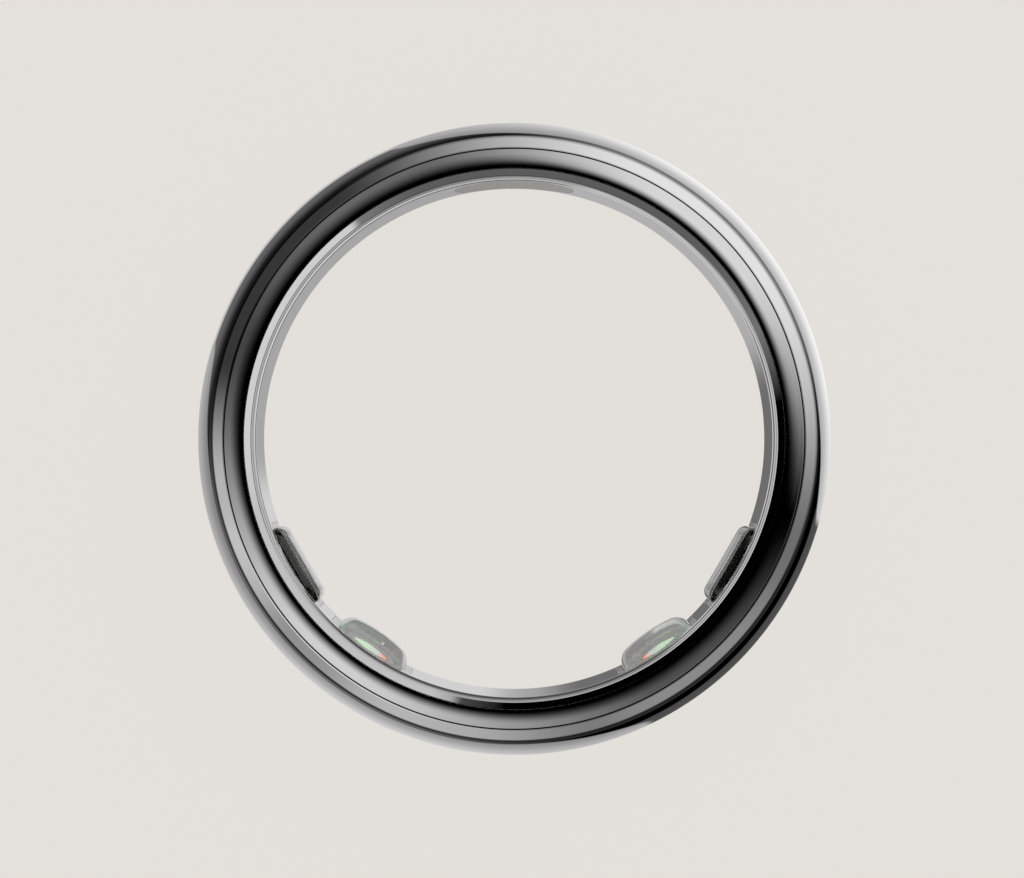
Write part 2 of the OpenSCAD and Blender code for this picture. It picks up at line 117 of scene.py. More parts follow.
class RingBandSizes(PropertyGroup):
    """Sizes of the turned metal pieces."""

    outer_radius: length("Outer radius", "Radius of the outside of the band", SHELL_BOX[1][0] / MM)
    half_width: length("Half width", "Half the band's width along the finger", LIP_BOX[1][2] / MM)
    bore_radius: length("Bore radius", "Radius of the finger bore", 10.3)
    shell_wall: length("Shell wall", "Thickness of the hoop behind the rounded outside", 0.6)
    roundover: length("Roundover", "Radius of the rounded outer edge", 3)
    facet_width: length("Facet width", "Width of the conical facet beside the seam", 0.405)
    facet_tilt: angle("Facet tilt", "Slope of the facet", 40)
    edge_width: length("Edge width", "Width of the rounded edge between the facet and the roundover", 0.192)
    seam_chamfer: length("Seam chamfer", "Width of the chamfer between the facet and the seam", 0.045)
    seam_slope: angle("Seam slope", "Slope of the chamfer beside the seam", 22)
    lip_edge: length("Lip edge", "Edge rounding of the lip beside the seam", 0.03)
    end_depth: length("End depth", "Distance from the band's end to the space inside it", 1.25)
    lip_width: length("Lip width", "Width of a side ring", 0.77)
    lip_height: length("Lip height", "Height of a side ring", 0.9)
    land_width: length("Land width", "Width of the flat land that the ring lies on", 0.068)
    lip_tilt: angle("Lip tilt", "Slope of the lip where it meets the seam", 28)
    seam: length("Seam", "Width of the open seam", 0.05)
    ledge: length("Ledge", "Width of the ledge under a side ring", 0.09)
    edge_break: length("Edge break", "Edge break on the side ring's inner edge", 0.002)
    liner_wall: length("Liner wall", "Thickness of the inner liner", 0.42)
    liner_inset: length("Liner inset", "Distance from the band's end to the liner's end", 0.03)
    flare_angle: angle("Flare angle", "Slope of the liner's flared end against the bore", 32)
    flare_radius: length("Flare radius", "Radius that blends the bore into the flare", 1.2)
    rim_width: length("Rim width", "Width of the liner's flat end", 0.004)
    gap: length("Gap", "Clearance between pieces", 0.02)
    segments: IntProperty(name="Segments", description="Faces round the band", default=720, min=96, max=1080)


class RingLensSizes(PropertyGroup):
    """Sizes of the lenses, the window and what shows through them."""

    dome_angle: angle("Dome angle", "Angle from the lowest point to the domed lenses", 34.5)
    flat_angle: angle("Flat angle", "Angle from the lowest point to the flat lenses", 60)
    foot_half_width: length("Foot half width", "Half width of a lens foot round the bore", 1.93)
    foot_half_length: length("Foot half length", "Half length of a lens foot along the finger", 2.6)
    foot_corner: length("Foot corner", "Corner radius of a lens foot", 0.6)
    raised_half_length: length("Raised half length", "Half length of a raised lens", 2.4)
    raised_corner: length("Raised corner", "Corner radius of a raised lens", 0.8)
    flat_height: length("Flat height", "Height of the flat lenses above the bore", 0.57)
    flat_half_width: length("Flat half width", "Half width of the flat lenses", 1.7)
    flat_shoulder: length("Flat shoulder", "Radius of the flat lenses' shoulders", 0.4)
    flat_camber: length("Flat camber", "Radius of the flat lenses' camber along the finger", 20)
    dome_height: length("Dome height", "Height of the domed lenses above the bore", 0.8)
    dome_half_width: length("Dome half width", "Half width of the domed lenses", 1.63)
    dome_shoulder: length("Dome shoulder", "Radius of the domed lenses' shoulders", 0.55)
    dome_radius: length("Dome radius", "Radius of a dome", 6.5)
    window_half_width: length("Window half width", "Half width of the charging window", 2.37)
    window_half_length: length("Window half length", "Half length of the charging window", 2.7)
    window_corner: length("Window corner", "Corner radius of the charging window", 1.6)


class RingColours(PropertyGroup):
    """Colours of the finishes and of the studio."""

    titanium: colour("Polished titanium", "Outside of the band", "#cdcdcd")
    sleeve: colour("Sleeve metal", "The sleeve that touches the finger", "#cdcdcd")
    lens: colour("Lens resin", "Clear cast epoxy", "#f2f5f3")
    window: colour("Window resin", "Flush grey resin over the charging coil", "#c2c2bc")
    rubber: colour("Seal rubber", "Seals and gaskets", "#141414")
    barrier: colour("Black plastic", "Light barriers and photodiode packages", "#0b0b0c")
    green: colour("Green emitter", "Dies of the green emitters", "#86c08c")
    red: colour("Red emitter", "Dies of the red emitters", "#f08a68")
    floor: colour("Floor", "Floor, backdrop and surround", "#e4e0db")


# Node and mesh helpers


def add(tree, kind, inputs=(), **settings):
    """Adds a node with its settings, and sets or links its inputs, by name or in order; returns the node.

    A node among the inputs stands for its first output, and a colour may be sRGB hex.
    """
    node = tree.nodes.new(kind)
    for name, value in settings.items():
        setattr(node, name, value)
    for key, value in inputs.items() if isinstance(inputs, dict) else enumerate(inputs):
        socket = node.inputs[key]
        if isinstance(value, bpy.types.Node):
            value = value.outputs[0]
        if isinstance(value, bpy.types.NodeSocket):
            tree.links.new(value, socket)
        elif socket.type == "RGBA":
            shade = linear(value) if isinstance(value, str) else value
            socket.default_value = (*shade[:3], 1)
        else:
            socket.default_value = value
    return node


def empty_tree(owner):
    """Clears the node tree of a material or a world, and returns it."""
    owner.use_nodes = True
    owner.node_tree.nodes.clear()
    return owner.node_tree


def arc(centre, radius, start, end, steps):
    """Points on an arc, both ends included; angles in radians."""
    turns = [start + (end - start) * i / steps for i in range(steps + 1)]
    return [(centre[0] + radius * math.cos(turn), centre[1] + radius * math.sin(turn)) for turn in turns]


def between(p, q, part, whole):
    """The point that lies a part of the whole way from one point to another."""
    return tuple(a + (b - a) * part / whole for a, b in zip(p, q))


def eased(points, ease=0.012 * MM):
    """Adds a point near both ends of each long straight run, to keep smooth shading true beside an arc."""
    out = []
    for i, p in enumerate(points):
        q = points[(i + 1) % len(points)]
        out.append(p)
        run = math.dist(p, q)
        if run > 5 * ease:
            out += [between(p, q, ease, run), between(q, p, ease, run)]
    return out


def both_ends(half):
    """Closes a section that runs from the middle plane to the middle plane with its mirror image."""
    return eased(half + [(r, -z) for r, z in reversed(half)])


def metres(point):
    """A point that is given in millimetres."""
    return tuple(v * MM for v in point)


def new_object(name, mesh, material=None):
    """Puts a mesh into the scene under a name."""
    ob = bpy.data.objects.new(name, mesh)
    bpy.context.scene.collection.objects.link(ob)
    if material is not None:
        mesh.materials.clear()
        mesh.materials.append(material)
    return ob


def face_outwards(mesh, merge=False):
    """Points a closed mesh's faces outwards, after its doubles are merged where that is asked for."""
    bm = bmesh.new()
    bm.from_mesh(mesh)
    if merge:
        bmesh.ops.remove_doubles(bm, verts=bm.verts, dist=1e-8)
    bmesh.ops.recalc_face_normals(bm, faces=bm.faces)
    bm.to_mesh(mesh)
    bm.free()


def settle(ob, crease=9, replaces=(), slot=None):
    """Closes a mesh, points its faces outwards, shades it and hands it to the frame; crease in degrees."""
    face_outwards(ob.data, merge=True)
    ob.data.shade_smooth()
    ob.data.set_sharp_from_angle(angle=math.radians(crease))
    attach(ob, ROOT)
    if replaces:
        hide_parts(*replaces)
    return ob


def plain_mesh(source):
    """Turns an object with its modifiers into a plain mesh, and removes the object."""
    graph = bpy.context.evaluated_depsgraph_get()
    mesh = bpy.data.meshes.new_from_object(source.evaluated_get(graph))
    name = source.name
    bpy.data.objects.remove(source)
    mesh.name = name
    return mesh


def start_group(name, inputs):
    """A geometry nodes tree with named inputs and one piece as its result; returns it and its inputs."""
    tree = bpy.data.node_groups.new(name, "GeometryNodeTree")
    for label, kind in inputs.items():
        tree.interface.new_socket(label, in_out="INPUT", socket_type="NodeSocket" + kind)
    tree.interface.new_socket("Piece", in_out="OUTPUT", socket_type="NodeSocketGeometry")
    return tree, add(tree, "NodeGroupInput").outputs


def finish_group(tree, made, finish):
    """Ends a geometry nodes tree with real geometry in one finish; returns the tree."""
    real = add(tree, "GeometryNodeRealizeInstances", (made,))
    finished = add(tree, "GeometryNodeSetMaterial", {"Geometry": real, "Material": finish})
    add(tree, "NodeGroupOutput", (finished,))
    return tree


def grown(name, mesh, tree, values):
    """The plain mesh that a geometry nodes tree makes of a mesh, with its inputs set by their identifiers."""
    source = new_object(name + "_source", mesh)
    modifier = source.modifiers.new(tree.name, "NODES")
    modifier.node_group = tree
    items = [item for item in tree.interface.items_tree if item.item_type == "SOCKET"]
    sockets = {item.name: item.identifier for item in items if item.in_out == "INPUT"}
    for label, value in values.items():
        modifier[sockets[label]] = value
    return plain_mesh(source)


# The turned pieces: a section swept once round the axis


def turning_tree():
    """Geometry nodes that turn a section (x: distance from the path, y: minus z) round a circle."""
    name = "Turned section"
    if name in bpy.data.node_groups:
        return bpy.data.node_groups[name]
    inputs = {"Section": "Geometry", "Path radius": "Float", "Segments": "Int", "Finish": "Material"}
    tree, given = start_group(name, inputs)
    section = add(tree, "GeometryNodeMeshToCurve", (given["Section"],))
    path = add(tree, "GeometryNodeCurvePrimitiveCircle",
               {"Radius": given["Path radius"], "Resolution": given["Segments"]})
    swept = add(tree, "GeometryNodeCurveToMesh", {"Curve": path, "Profile Curve": section})
    return finish_group(tree, swept, given["Finish"])


def turned(name, section, material, segments):
    """A closed hoop with the given section, as (radius, z) points."""
    count = len(section)
    middle = sum(r for r, z in section) / count
    mesh = bpy.data.meshes.new(name + "_section")
    points = [(r - middle, -z, 0) for r, z in section]
    mesh.from_pydata(points, [(i, (i + 1) % count) for i in range(count)], [])
    values = {"Path radius": middle, "Segments": segments, "Finish": material}
    return new_object(name, grown(name, mesh, turning_tree(), values), material)


def edge_round(corner, first, last, radius):
    """Rounds a corner between two faces whose outward directions are given as angles."""
    middle, half = (first + last) / 2, abs(last - first) / 2
    out = radius / math.cos(half)
    centre = (corner[0] - out * math.cos(middle), corner[1] - out * math.sin(middle))
    return arc(centre, radius, first, last, SEAM_EDGE_STEPS)


def shell_section(s):
    """Section of the outer shell: roundover, rounded edge, facet, seam wall, ledge and the space inside."""
    lip_out = s.bore_radius + s.liner_wall + s.gap + s.lip_width
    shell_in = lip_out + s.seam
    facet_out = shell_in + s.facet_width
    lip_arc = (s.lip_width - s.edge_break - s.land_width) / math.sin(s.lip_tilt)
    lip_drop = lip_arc * (1 - math.cos(s.lip_tilt))
    facet_in_z = s.half_width - lip_drop - s.seam * math.tan(s.lip_tilt)
    facet_out_z = facet_in_z - s.facet_width * math.tan(s.facet_tilt)
    # the rounded edge takes the slope over from the facet and hands it on to the roundover
    round_r = s.outer_radius - s.roundover
    end_tilt = math.asin((facet_out + s.edge_width - round_r) / s.roundover)
    edge_radius = s.edge_width / (math.sin(end_tilt) - math.sin(s.facet_tilt))
    edge_r = facet_out - edge_radius * math.sin(s.facet_tilt)
    edge_z = facet_out_z - edge_radius * math.cos(s.facet_tilt)
    round_z = edge_z + (edge_radius - s.roundover) * math.cos(end_tilt)
    roundover = arc((round_r, round_z), s.roundover, 0, QUARTER - end_tilt, ROUNDOVER_STEPS)
    soft = arc((edge_r, edge_z), edge_radius, QUARTER - end_tilt, QUARTER - s.facet_tilt, SOFT_EDGE_STEPS)
    chamfer_z = facet_in_z - s.seam_chamfer * math.tan(s.facet_tilt)
    seam_z = chamfer_z - s.seam_chamfer * math.tan(s.seam_slope)
    # below its edge the seam's wall steps back to the seal's seat
    step, seat = facet_in_z - SEAT_STEP, shell_in + s.gap
    base = s.half_width - s.lip_height - s.gap
    ledge = lip_out - s.ledge
    floor = s.half_width - s.end_depth
    return both_ends(roundover + soft[1:] + [
        (shell_in + s.seam_chamfer, chamfer_z), (shell_in, seam_z), (shell_in, step), (seat, step),
        (seat, base), (ledge, base), (ledge, floor), (s.outer_radius - s.shell_wall, floor),
    ])


def side_ring_section(s):
    """Section of the front side ring, with the two grooves that its seals sit in."""
    lip_in = s.bore_radius + s.liner_wall + s.gap
    lip_out = lip_in + s.lip_width
    base = s.half_width - s.lip_height
    land_in = lip_in + s.edge_break
    land_out = land_in + s.land_width
    radius = (lip_out - land_out) / math.sin(s.lip_tilt)
    lip = arc((land_out, s.half_width - radius), radius, QUARTER, QUARTER - s.lip_tilt, LIP_STEPS)
    # both grooves lie a third of the way up
    seal_z = base + 0.3 * s.lip_height
    above, below = seal_z + GROOVE_HALF, seal_z - GROOVE_HALF
    outer_floor = lip_out + s.seam - GROOVE_DEPTH - s.gap
    inner_floor = lip_in + GROOVE_DEPTH
    # the lip's last points give way to the seam edge's rounding, which meets the seam's wall
    keep = [p for p in lip if p[0] < lip_out - 0.7 * s.lip_edge]
    edge = edge_round(lip[-1], QUARTER - s.lip_tilt, 0, s.lip_edge)
    return eased([(lip_in, s.half_width - s.edge_break), (land_in, s.half_width)] + keep + edge + [
        (lip_out, above), (outer_floor, above), (outer_floor, below), (lip_out, below), (lip_out, base),
        (lip_in, base), (lip_in, below), (inner_floor, below), (inner_floor, above), (lip_in, above),
    ])


def liner_section(s):
    """Section of the inner liner: bore, blend, flared end, rim and back."""
    top = s.half_width - s.liner_inset
    out = s.bore_radius + s.liner_wall
    corner = top - (s.liner_wall - s.rim_width) / math.tan(s.flare_angle)
    start = corner - s.flare_radius * math.tan(s.flare_angle / 2)
    centre = (s.bore_radius + s.flare_radius, start)
    blend = arc(centre, s.flare_radius, math.pi, math.pi - s.flare_angle, BLEND_STEPS)
    # the flared face ends in a crisp edge
    return both_ends(blend + [(out - s.rim_width, top), (out, top)])


# Lenses and the window: outlines lofted into one another


def outline(half_w, half_l, corner):
    """Points of a rounded rectangle, with as many points for any size, so that two of them can be joined."""
    corner = max(min(corner, half_w * 0.999, half_l * 0.999), 1e-7)
    x, y = half_w - corner, half_l - corner
    centres = [(x, y), (-x, y), (-x, -y), (x, -y)]
    points = []
    for quarter, centre in enumerate(centres):
        start = quarter * QUARTER
        end = start + QUARTER
        points += arc(centre, corner, start, end, CORNER_STEPS)
        # the straight side leads to where the next corner begins
        after = centres[(quarter + 1) % 4]
        begin, finish = points[-1], (after[0] + corner * math.cos(end), after[1] + corner * math.sin(end))
        count = SIDE_STEPS[quarter % 2]
        points += [between(begin, finish, i, count) for i in range(1, count)]
    return points


def on_bore(radius, t):
    """Distance along the lens's own axis to a cylinder round the bore, at a place t to one side."""
    return math.sqrt(radius ** 2 - t ** 2)


def wrapped(points, radius):
    """An outline laid on a cylinder round the bore."""
    return [(on_bore(radius, t), t, l) for t, l in points]


def flanged(half_w, half_l, corner, steps):
    """Rings round a foot or a window: for each step its outline, grown and laid on a cylinder of a radius."""
    rings = []
    for grow, radius in steps:
        ring = outline(half_w + grow, half_l + grow, corner + min(grow, 0))
        rings.append(wrapped(ring, radius))
    return rings


def soft_min(a, b, blend):
    """The smaller of two heights, with a small fillet where they cross."""
    h = max(blend - abs(a - b), 0) / blend
    return min(a, b) - h * h * blend / 4


def lofted(name, rings, turn, material, foot=None, foot_rings=(0, 0)):
    """Joins rings into a closed skin with a point in the middle of both ends; a foot may have its finish."""
    mesh = bpy.data.meshes.new(name)
    count = len(rings[0])
    points = [Vector(p) for ring in rings for p in ring]
    crown, back = len(points), len(points) + 1
    base = crown - count
    around = [(i, (i + 1) % count) for i in range(count)]
    faces = [(k + i, k + j, k + count + j, k + count + i) for k in range(0, base, count) for i, j in around]
    for i, j in around:
        faces += [(crown, j, i), (back, base + i, base + j)]
    points += [sum((Vector(p) for p in ring), Vector()) / count for ring in (rings[0], rings[-1])]
    spin = Matrix.Rotation(turn, 4, "Z")
    mesh.from_pydata([spin @ p for p in points], [], faces)
    ob = new_object(name, mesh, material)
    if foot is not None:
        mesh.materials.append(foot)
        for face in mesh.polygons[foot_rings[0] * count:foot_rings[1] * count]:
            face.material_index = 1
    return ob


def lens_rings(s, z, domed):
    """Rings of a lens from its crest's middle, over its shoulder and foot, to the resin that fills its well.

    Returns them with the first and the last ring of the foot's face.
    """
    if domed:
        half_w, shoulder, height, radius = z.dome_half_width, z.dome_shoulder, z.dome_height, z.dome_radius
    else:
        half_w, shoulder, height, radius = z.flat_half_width, z.flat_shoulder, z.flat_height, z.flat_camber
    half_l = z.raised_half_length

    def crest(t, l):
        # a dome curves both ways, a flat lens only along the finger
        across = t if domed else 0
        return s.bore_radius - height + radius - math.sqrt(radius ** 2 - across * across - l * l)

    def skin(points, inset):
        # a fillet of 0.07 mm blends the lens into its foot
        drop = shoulder - math.sqrt(max(shoulder ** 2 - max(shoulder - inset, 0) ** 2, 0))
        return [(soft_min(crest(t, l) + drop, on_bore(s.bore_radius, t), 0.07 * MM), t, l) for t, l in points]

    rings = []
    inner = outline(half_w - shoulder, half_l - shoulder, z.raised_corner - shoulder)
    for i in range(1, CREST_RINGS):
        share = i / CREST_RINGS
        rings.append(skin([(t * share, l * share) for t, l in inner], shoulder))
    for i in range(SHOULDER_RINGS + 1):
        inset = shoulder * (1 - math.sin(QUARTER * i / SHOULDER_RINGS))
        rings.append(skin(outline(half_w - inset, half_l - inset, z.raised_corner - inset), inset))
    # the foot lies flush in the sleeve, with a small edge break
    first = len(rings)
    for step in (0.03 * MM, 0.08 * MM, 0.14 * MM):
        if half_w + step < z.foot_half_width - 0.03 * MM:
            ring = outline(half_w + step, half_l + step, z.raised_corner)
            rings.append(wrapped(ring, s.bore_radius))
    last = len(rings) + 1
    edge = 0.02 * MM
    back = s.bore_radius + s.liner_wall
    rings += flanged(z.foot_half_width, z.foot_half_length, z.foot_corner, (
        (-edge, s.bore_radius), (0, s.bore_radius + edge), (0, back + FLANGE_TOP),
        (FLANGE_WIDTH, back + FLANGE_TOP), (FLANGE_WIDTH, back + FLANGE_BACK),
    ))
    # the resin runs down into the well between the black barrier's walls, and wets the board
    top, board = back + BARRIER_TOP, s.bore_radius + BOARD_FACE
    well = (z.foot_half_width - WELL_INSET, WELL_HALF, z.foot_corner - WELL_SHARPER)
    middle = (z.foot_half_width * 0.3, 1.1 * MM, z.foot_corner * 0.5)
    rim = (z.foot_half_width, BARRIER_HALF, z.foot_corner)
    for shape, depth in ((rim, top), (well, top), (well, board), (middle, board)):
        rings.append(wrapped(outline(*shape), depth))
    return rings, (first, last)


def window_rings(s, z):
    """Rings of the flush window, from its middle to its back."""
    edge = 0.03 * MM
    full = outline(z.window_half_width - edge, z.window_half_length - edge, z.window_corner)
    shares = [i / WINDOW_RINGS for i in range(1, WINDOW_RINGS + 1)]
    rings = [wrapped([(t * share, l * share) for t, l in full], s.bore_radius) for share in shares]
    back = s.bore_radius + s.liner_wall
    return rings + flanged(z.window_half_width, z.window_half_length, z.window_corner, (
        (0, s.bore_radius + edge), (0, back + FLANGE_TOP), (FLANGE_WIDTH, back + FLANGE_TOP),
        (FLANGE_WIDTH, back + FLANGE_BACK), (-1.2 * MM, back + FLANGE_BACK),
    ))


def prism(name, half_w, half_l, corner, near, far, turn):
    """A straight block with a rounded outline, which cuts a pocket in the sleeve."""
    rings = [[(x, t, l) for t, l in outline(half_w, half_l, corner)] for x in (near, far)]
    ob = lofted(name, rings, turn, None)
    face_outwards(ob.data)
    return ob


def lens_turns(z):
    """Name of each lens, its turn round the axis, whether it is domed, and its side of the ring."""
    return [
        (f"{label}_{kind}_lens", -QUARTER + side * turn, kind == "dome", side)
        for kind, turn in (("flat", z.flat_angle), ("dome", z.dome_angle))
        for label, side in (("left", -1), ("right", 1))
    ]


# Finishes


def new_material(name, pattern):
    """A node material; its pattern adds nodes to a tree and returns what the shader's inputs take."""
    material = bpy.data.materials.new(name)
    tree = empty_tree(material)
    shader = add(tree, "ShaderNodeBsdfPrincipled", pattern(tree))
    add(tree, "ShaderNodeOutputMaterial", (shader,))


def mottled(tree, grain, detail, smooth, rough, **more):
    """Noise with grains of a real size, and a roughness that varies with it."""
    place = add(tree, PLACE).outputs["Object"]
    noise = add(tree, NOISE, {"Vector": place, "Scale": 1 / grain, "Detail": detail, **more})
    return noise, add(tree, RAMP, (noise, *NOISE_RANGE, smooth, rough))


def brushed(tree, along, across, detail, depth):
    """Fine lines round the band, with a real length and distance apart, and their relief."""
    place = add(tree, PLACE).outputs["Object"]
    flat = add(tree, VECTOR, (place, (1, 1, 0)), operation="MULTIPLY")
    radius = add(tree, VECTOR, (flat,), operation="LENGTH").outputs["Value"]
    height = add(tree, "ShaderNodeSeparateXYZ", (place,)).outputs[2]
    lane = add(tree, MATH, (radius, height), operation="ADD")
    lane = add(tree, MATH, (lane, 1 / across), operation="MULTIPLY")
    up = add(tree, "ShaderNodeCombineXYZ", {2: lane})
    # the unit direction closes on itself, so the lines have no seam; one unit is about 10 mm round the bore
    way = add(tree, VECTOR, (flat,), operation="NORMALIZE")
    reach = 10 * MM / along
    lanes = add(tree, VECTOR, (way, (reach, reach, 0), up), operation="MULTIPLY_ADD")
    lines = add(tree, NOISE, {"Vector": lanes, "Scale": 1, "Detail": detail, "Roughness": 0.6})
    return lines, add(tree, BUMP, {"Height": lines, "Strength": 0.02, "Distance": depth})


def mirror_titanium(tree):
    """Polished titanium: a clean, slightly uneven mirror, with a polishing wheel's hairlines round it."""
    # hairlines 0.03 mm apart and about 6 mm long
    relief = brushed(tree, 6 * MM, 0.03 * MM, 2, 0.002 * MM)[1]
    # hand polishing leaves the gloss slightly uneven over about 2 mm
    gloss = mottled(tree, 2 * MM, 3, 0.012, 0.026)[1]
    colours = bpy.context.scene.ring_colours
    return {"Base Color": colours.titanium, "Metallic": 1.0, "Roughness": gloss, "Normal": relief}


def satin_titanium(tree):
    """Satin polished titanium: brushed round the bore so finely that it is as bright as the outside."""
    # brush lines 0.05 mm apart and about 3 mm long
    brush, relief = brushed(tree, 3 * MM, 0.05 * MM, 3, 0.001 * MM)
    gloss = add(tree, RAMP, (brush, *NOISE_RANGE, 0.008, 0.018))
    colours = bpy.context.scene.ring_colours
    return {"Base Color": colours.sleeve, "Metallic": 1.0, "Roughness": gloss, "Normal": relief}


def clear_epoxy(tree):
    """Clear cast epoxy: glass-clear with a soft skin, faintly wavy where it cured in its mould."""
    place = add(tree, PLACE).outputs["Object"]
    # mould waviness over about 1.2 mm
    wave = add(tree, NOISE, {"Vector": place, "Scale": 1 / (1.2 * MM), "Detail": 1})
    relief = add(tree, BUMP, {"Height": wave, "Strength": 0.04, "Distance": 0.01 * MM})
    colours = bpy.context.scene.ring_colours
    return {"Base Color": colours.lens, "Roughness": 0.015, "IOR": 1.53, "Transmission Weight": 1.0,
            "Normal": relief}


def emitter_wells(tree):
    """Where a point lies in the domed lenses' wells: its way round towards the flat lens, and a mask."""
    dome_angle = bpy.context.scene.ring_lenses.dome_angle
    # the well's middle radius and its half width and half length
    radius, half_width, half_length = 11.1 * MM, 1.55 * MM, 2.27 * MM
    x, y, height = add(tree, "ShaderNodeSeparateXYZ", (add(tree, PLACE).outputs["Object"],)).outputs
    down = add(tree, MATH, (y, -1.0), operation="MULTIPLY")
    turn = add(tree, MATH, (x, down), operation="ARCTAN2")
    turn = add(tree, MATH, (turn,), operation="ABSOLUTE")
    way = add(tree, MATH, (turn, dome_angle), operation="SUBTRACT")
    way = add(tree, MATH, (way, radius), operation="MULTIPLY")
    inside = 1.0
    for distance, limit in ((way, half_width), (height, half_length)):
        distance = add(tree, MATH, (distance,), operation="ABSOLUTE")
        within = add(tree, MATH, (distance, limit), operation="LESS_THAN")
        inside = add(tree, MATH, (inside, within), operation="MULTIPLY")
    return way, inside


def well_lining(tree):
    """Black moulded barrier; in the emitters' wells it is white, with the spill of green and red light."""
    way, inside = emitter_wells(tree)
    # moulded grain of 0.06 mm; the resin that wets it takes its gloss away
    gloss = mottled(tree, 0.06 * MM, 2, 0.5, 0.6)[1]
    glow, soft = "#c9ccc6", 0.12 * MM
    # green and red light, each from its start to its end round the ring
    for start, end, shade in ((0.0, 1.25 * MM, "#c6dfc3"), (-1.45 * MM, -0.45 * MM, "#ec9f86")):
        rise = add(tree, RAMP, (way, start - soft, start + soft))
        fall = add(tree, RAMP, (way, end - soft, end + soft, 1, 0))
        part = add(tree, MATH, (rise, fall), operation="MULTIPLY")
        glow = add(tree, MIX, {0: part, 6: glow, 7: shade}, data_type="RGBA").outputs[2]
    black = bpy.context.scene.ring_colours.barrier
    base = add(tree, MIX, {0: inside, 6: black, 7: glow}, data_type="RGBA").outputs[2]
    spill = add(tree, MATH, (inside, 0.8), operation="MULTIPLY")
    return {"Base Color": base, "Roughness": gloss, "IOR": 1.06, "Emission Color": glow,
            "Emission Strength": spill}


def coverlay_film(tree):
    """Black coverlay film of the board, slightly mottled, with grey windows under the emitters that glow with
    painted light.
    """
    inside = emitter_wells(tree)[1]
    # mottling over 0.3 mm
    gloss = mottled(tree, 0.3 * MM, 2, 0.25, 0.4)[1]
    base = add(tree, MIX, {0: inside, 6: "#1c1b19", 7: "#969696"}, data_type="RGBA").outputs[2]
    # painted glow in the windows, which stands in for the emitters' light falling there
    spill = add(tree, MATH, (inside, 0.33), operation="MULTIPLY")
    return {"Base Color": base, "Roughness": gloss, "IOR": 1.06, "Emission Color": "#c2c2c2",
            "Emission Strength": spill}


def dimmed(shade, share):
    """A darker version of a colour."""
    return tuple(v * share for v in shade)


def speckled(name, base, darker, grain, roughness, spread=0.08, relief=0, glow=None, **more):
    """A moulded, cast or fired surface: two close shades in grains of a real size, with sheen and relief.

    Grain and relief are in millimetres, and a glow is its colour and strength.
    """
    def pattern(tree):
        smooth, rough = roughness - spread / 2, roughness + spread / 2
        noise, gloss = mottled(tree, grain * MM, 3, smooth, rough, Roughness=0.6)
        shade = add(tree, MIX, {0: noise, 6: darker, 7: base}, data_type="RGBA").outputs[2]
        inputs = {"Base Color": shade, "Roughness": gloss, **more}
        if glow:
            inputs["Emission Color"], inputs["Emission Strength"] = glow
        if relief:
            inputs["Normal"] = add(tree, BUMP, {"Height": noise, "Strength": 0.3, "Distance": relief * MM})
        return inputs

    new_material(name, pattern)


def finishes():
    """Every finish of the ring by name, made once."""
    if "mirror_titanium" not in bpy.data.materials:
        make_finishes(bpy.context.scene.ring_colours)
    return {m.name: m for m in bpy.data.materials}


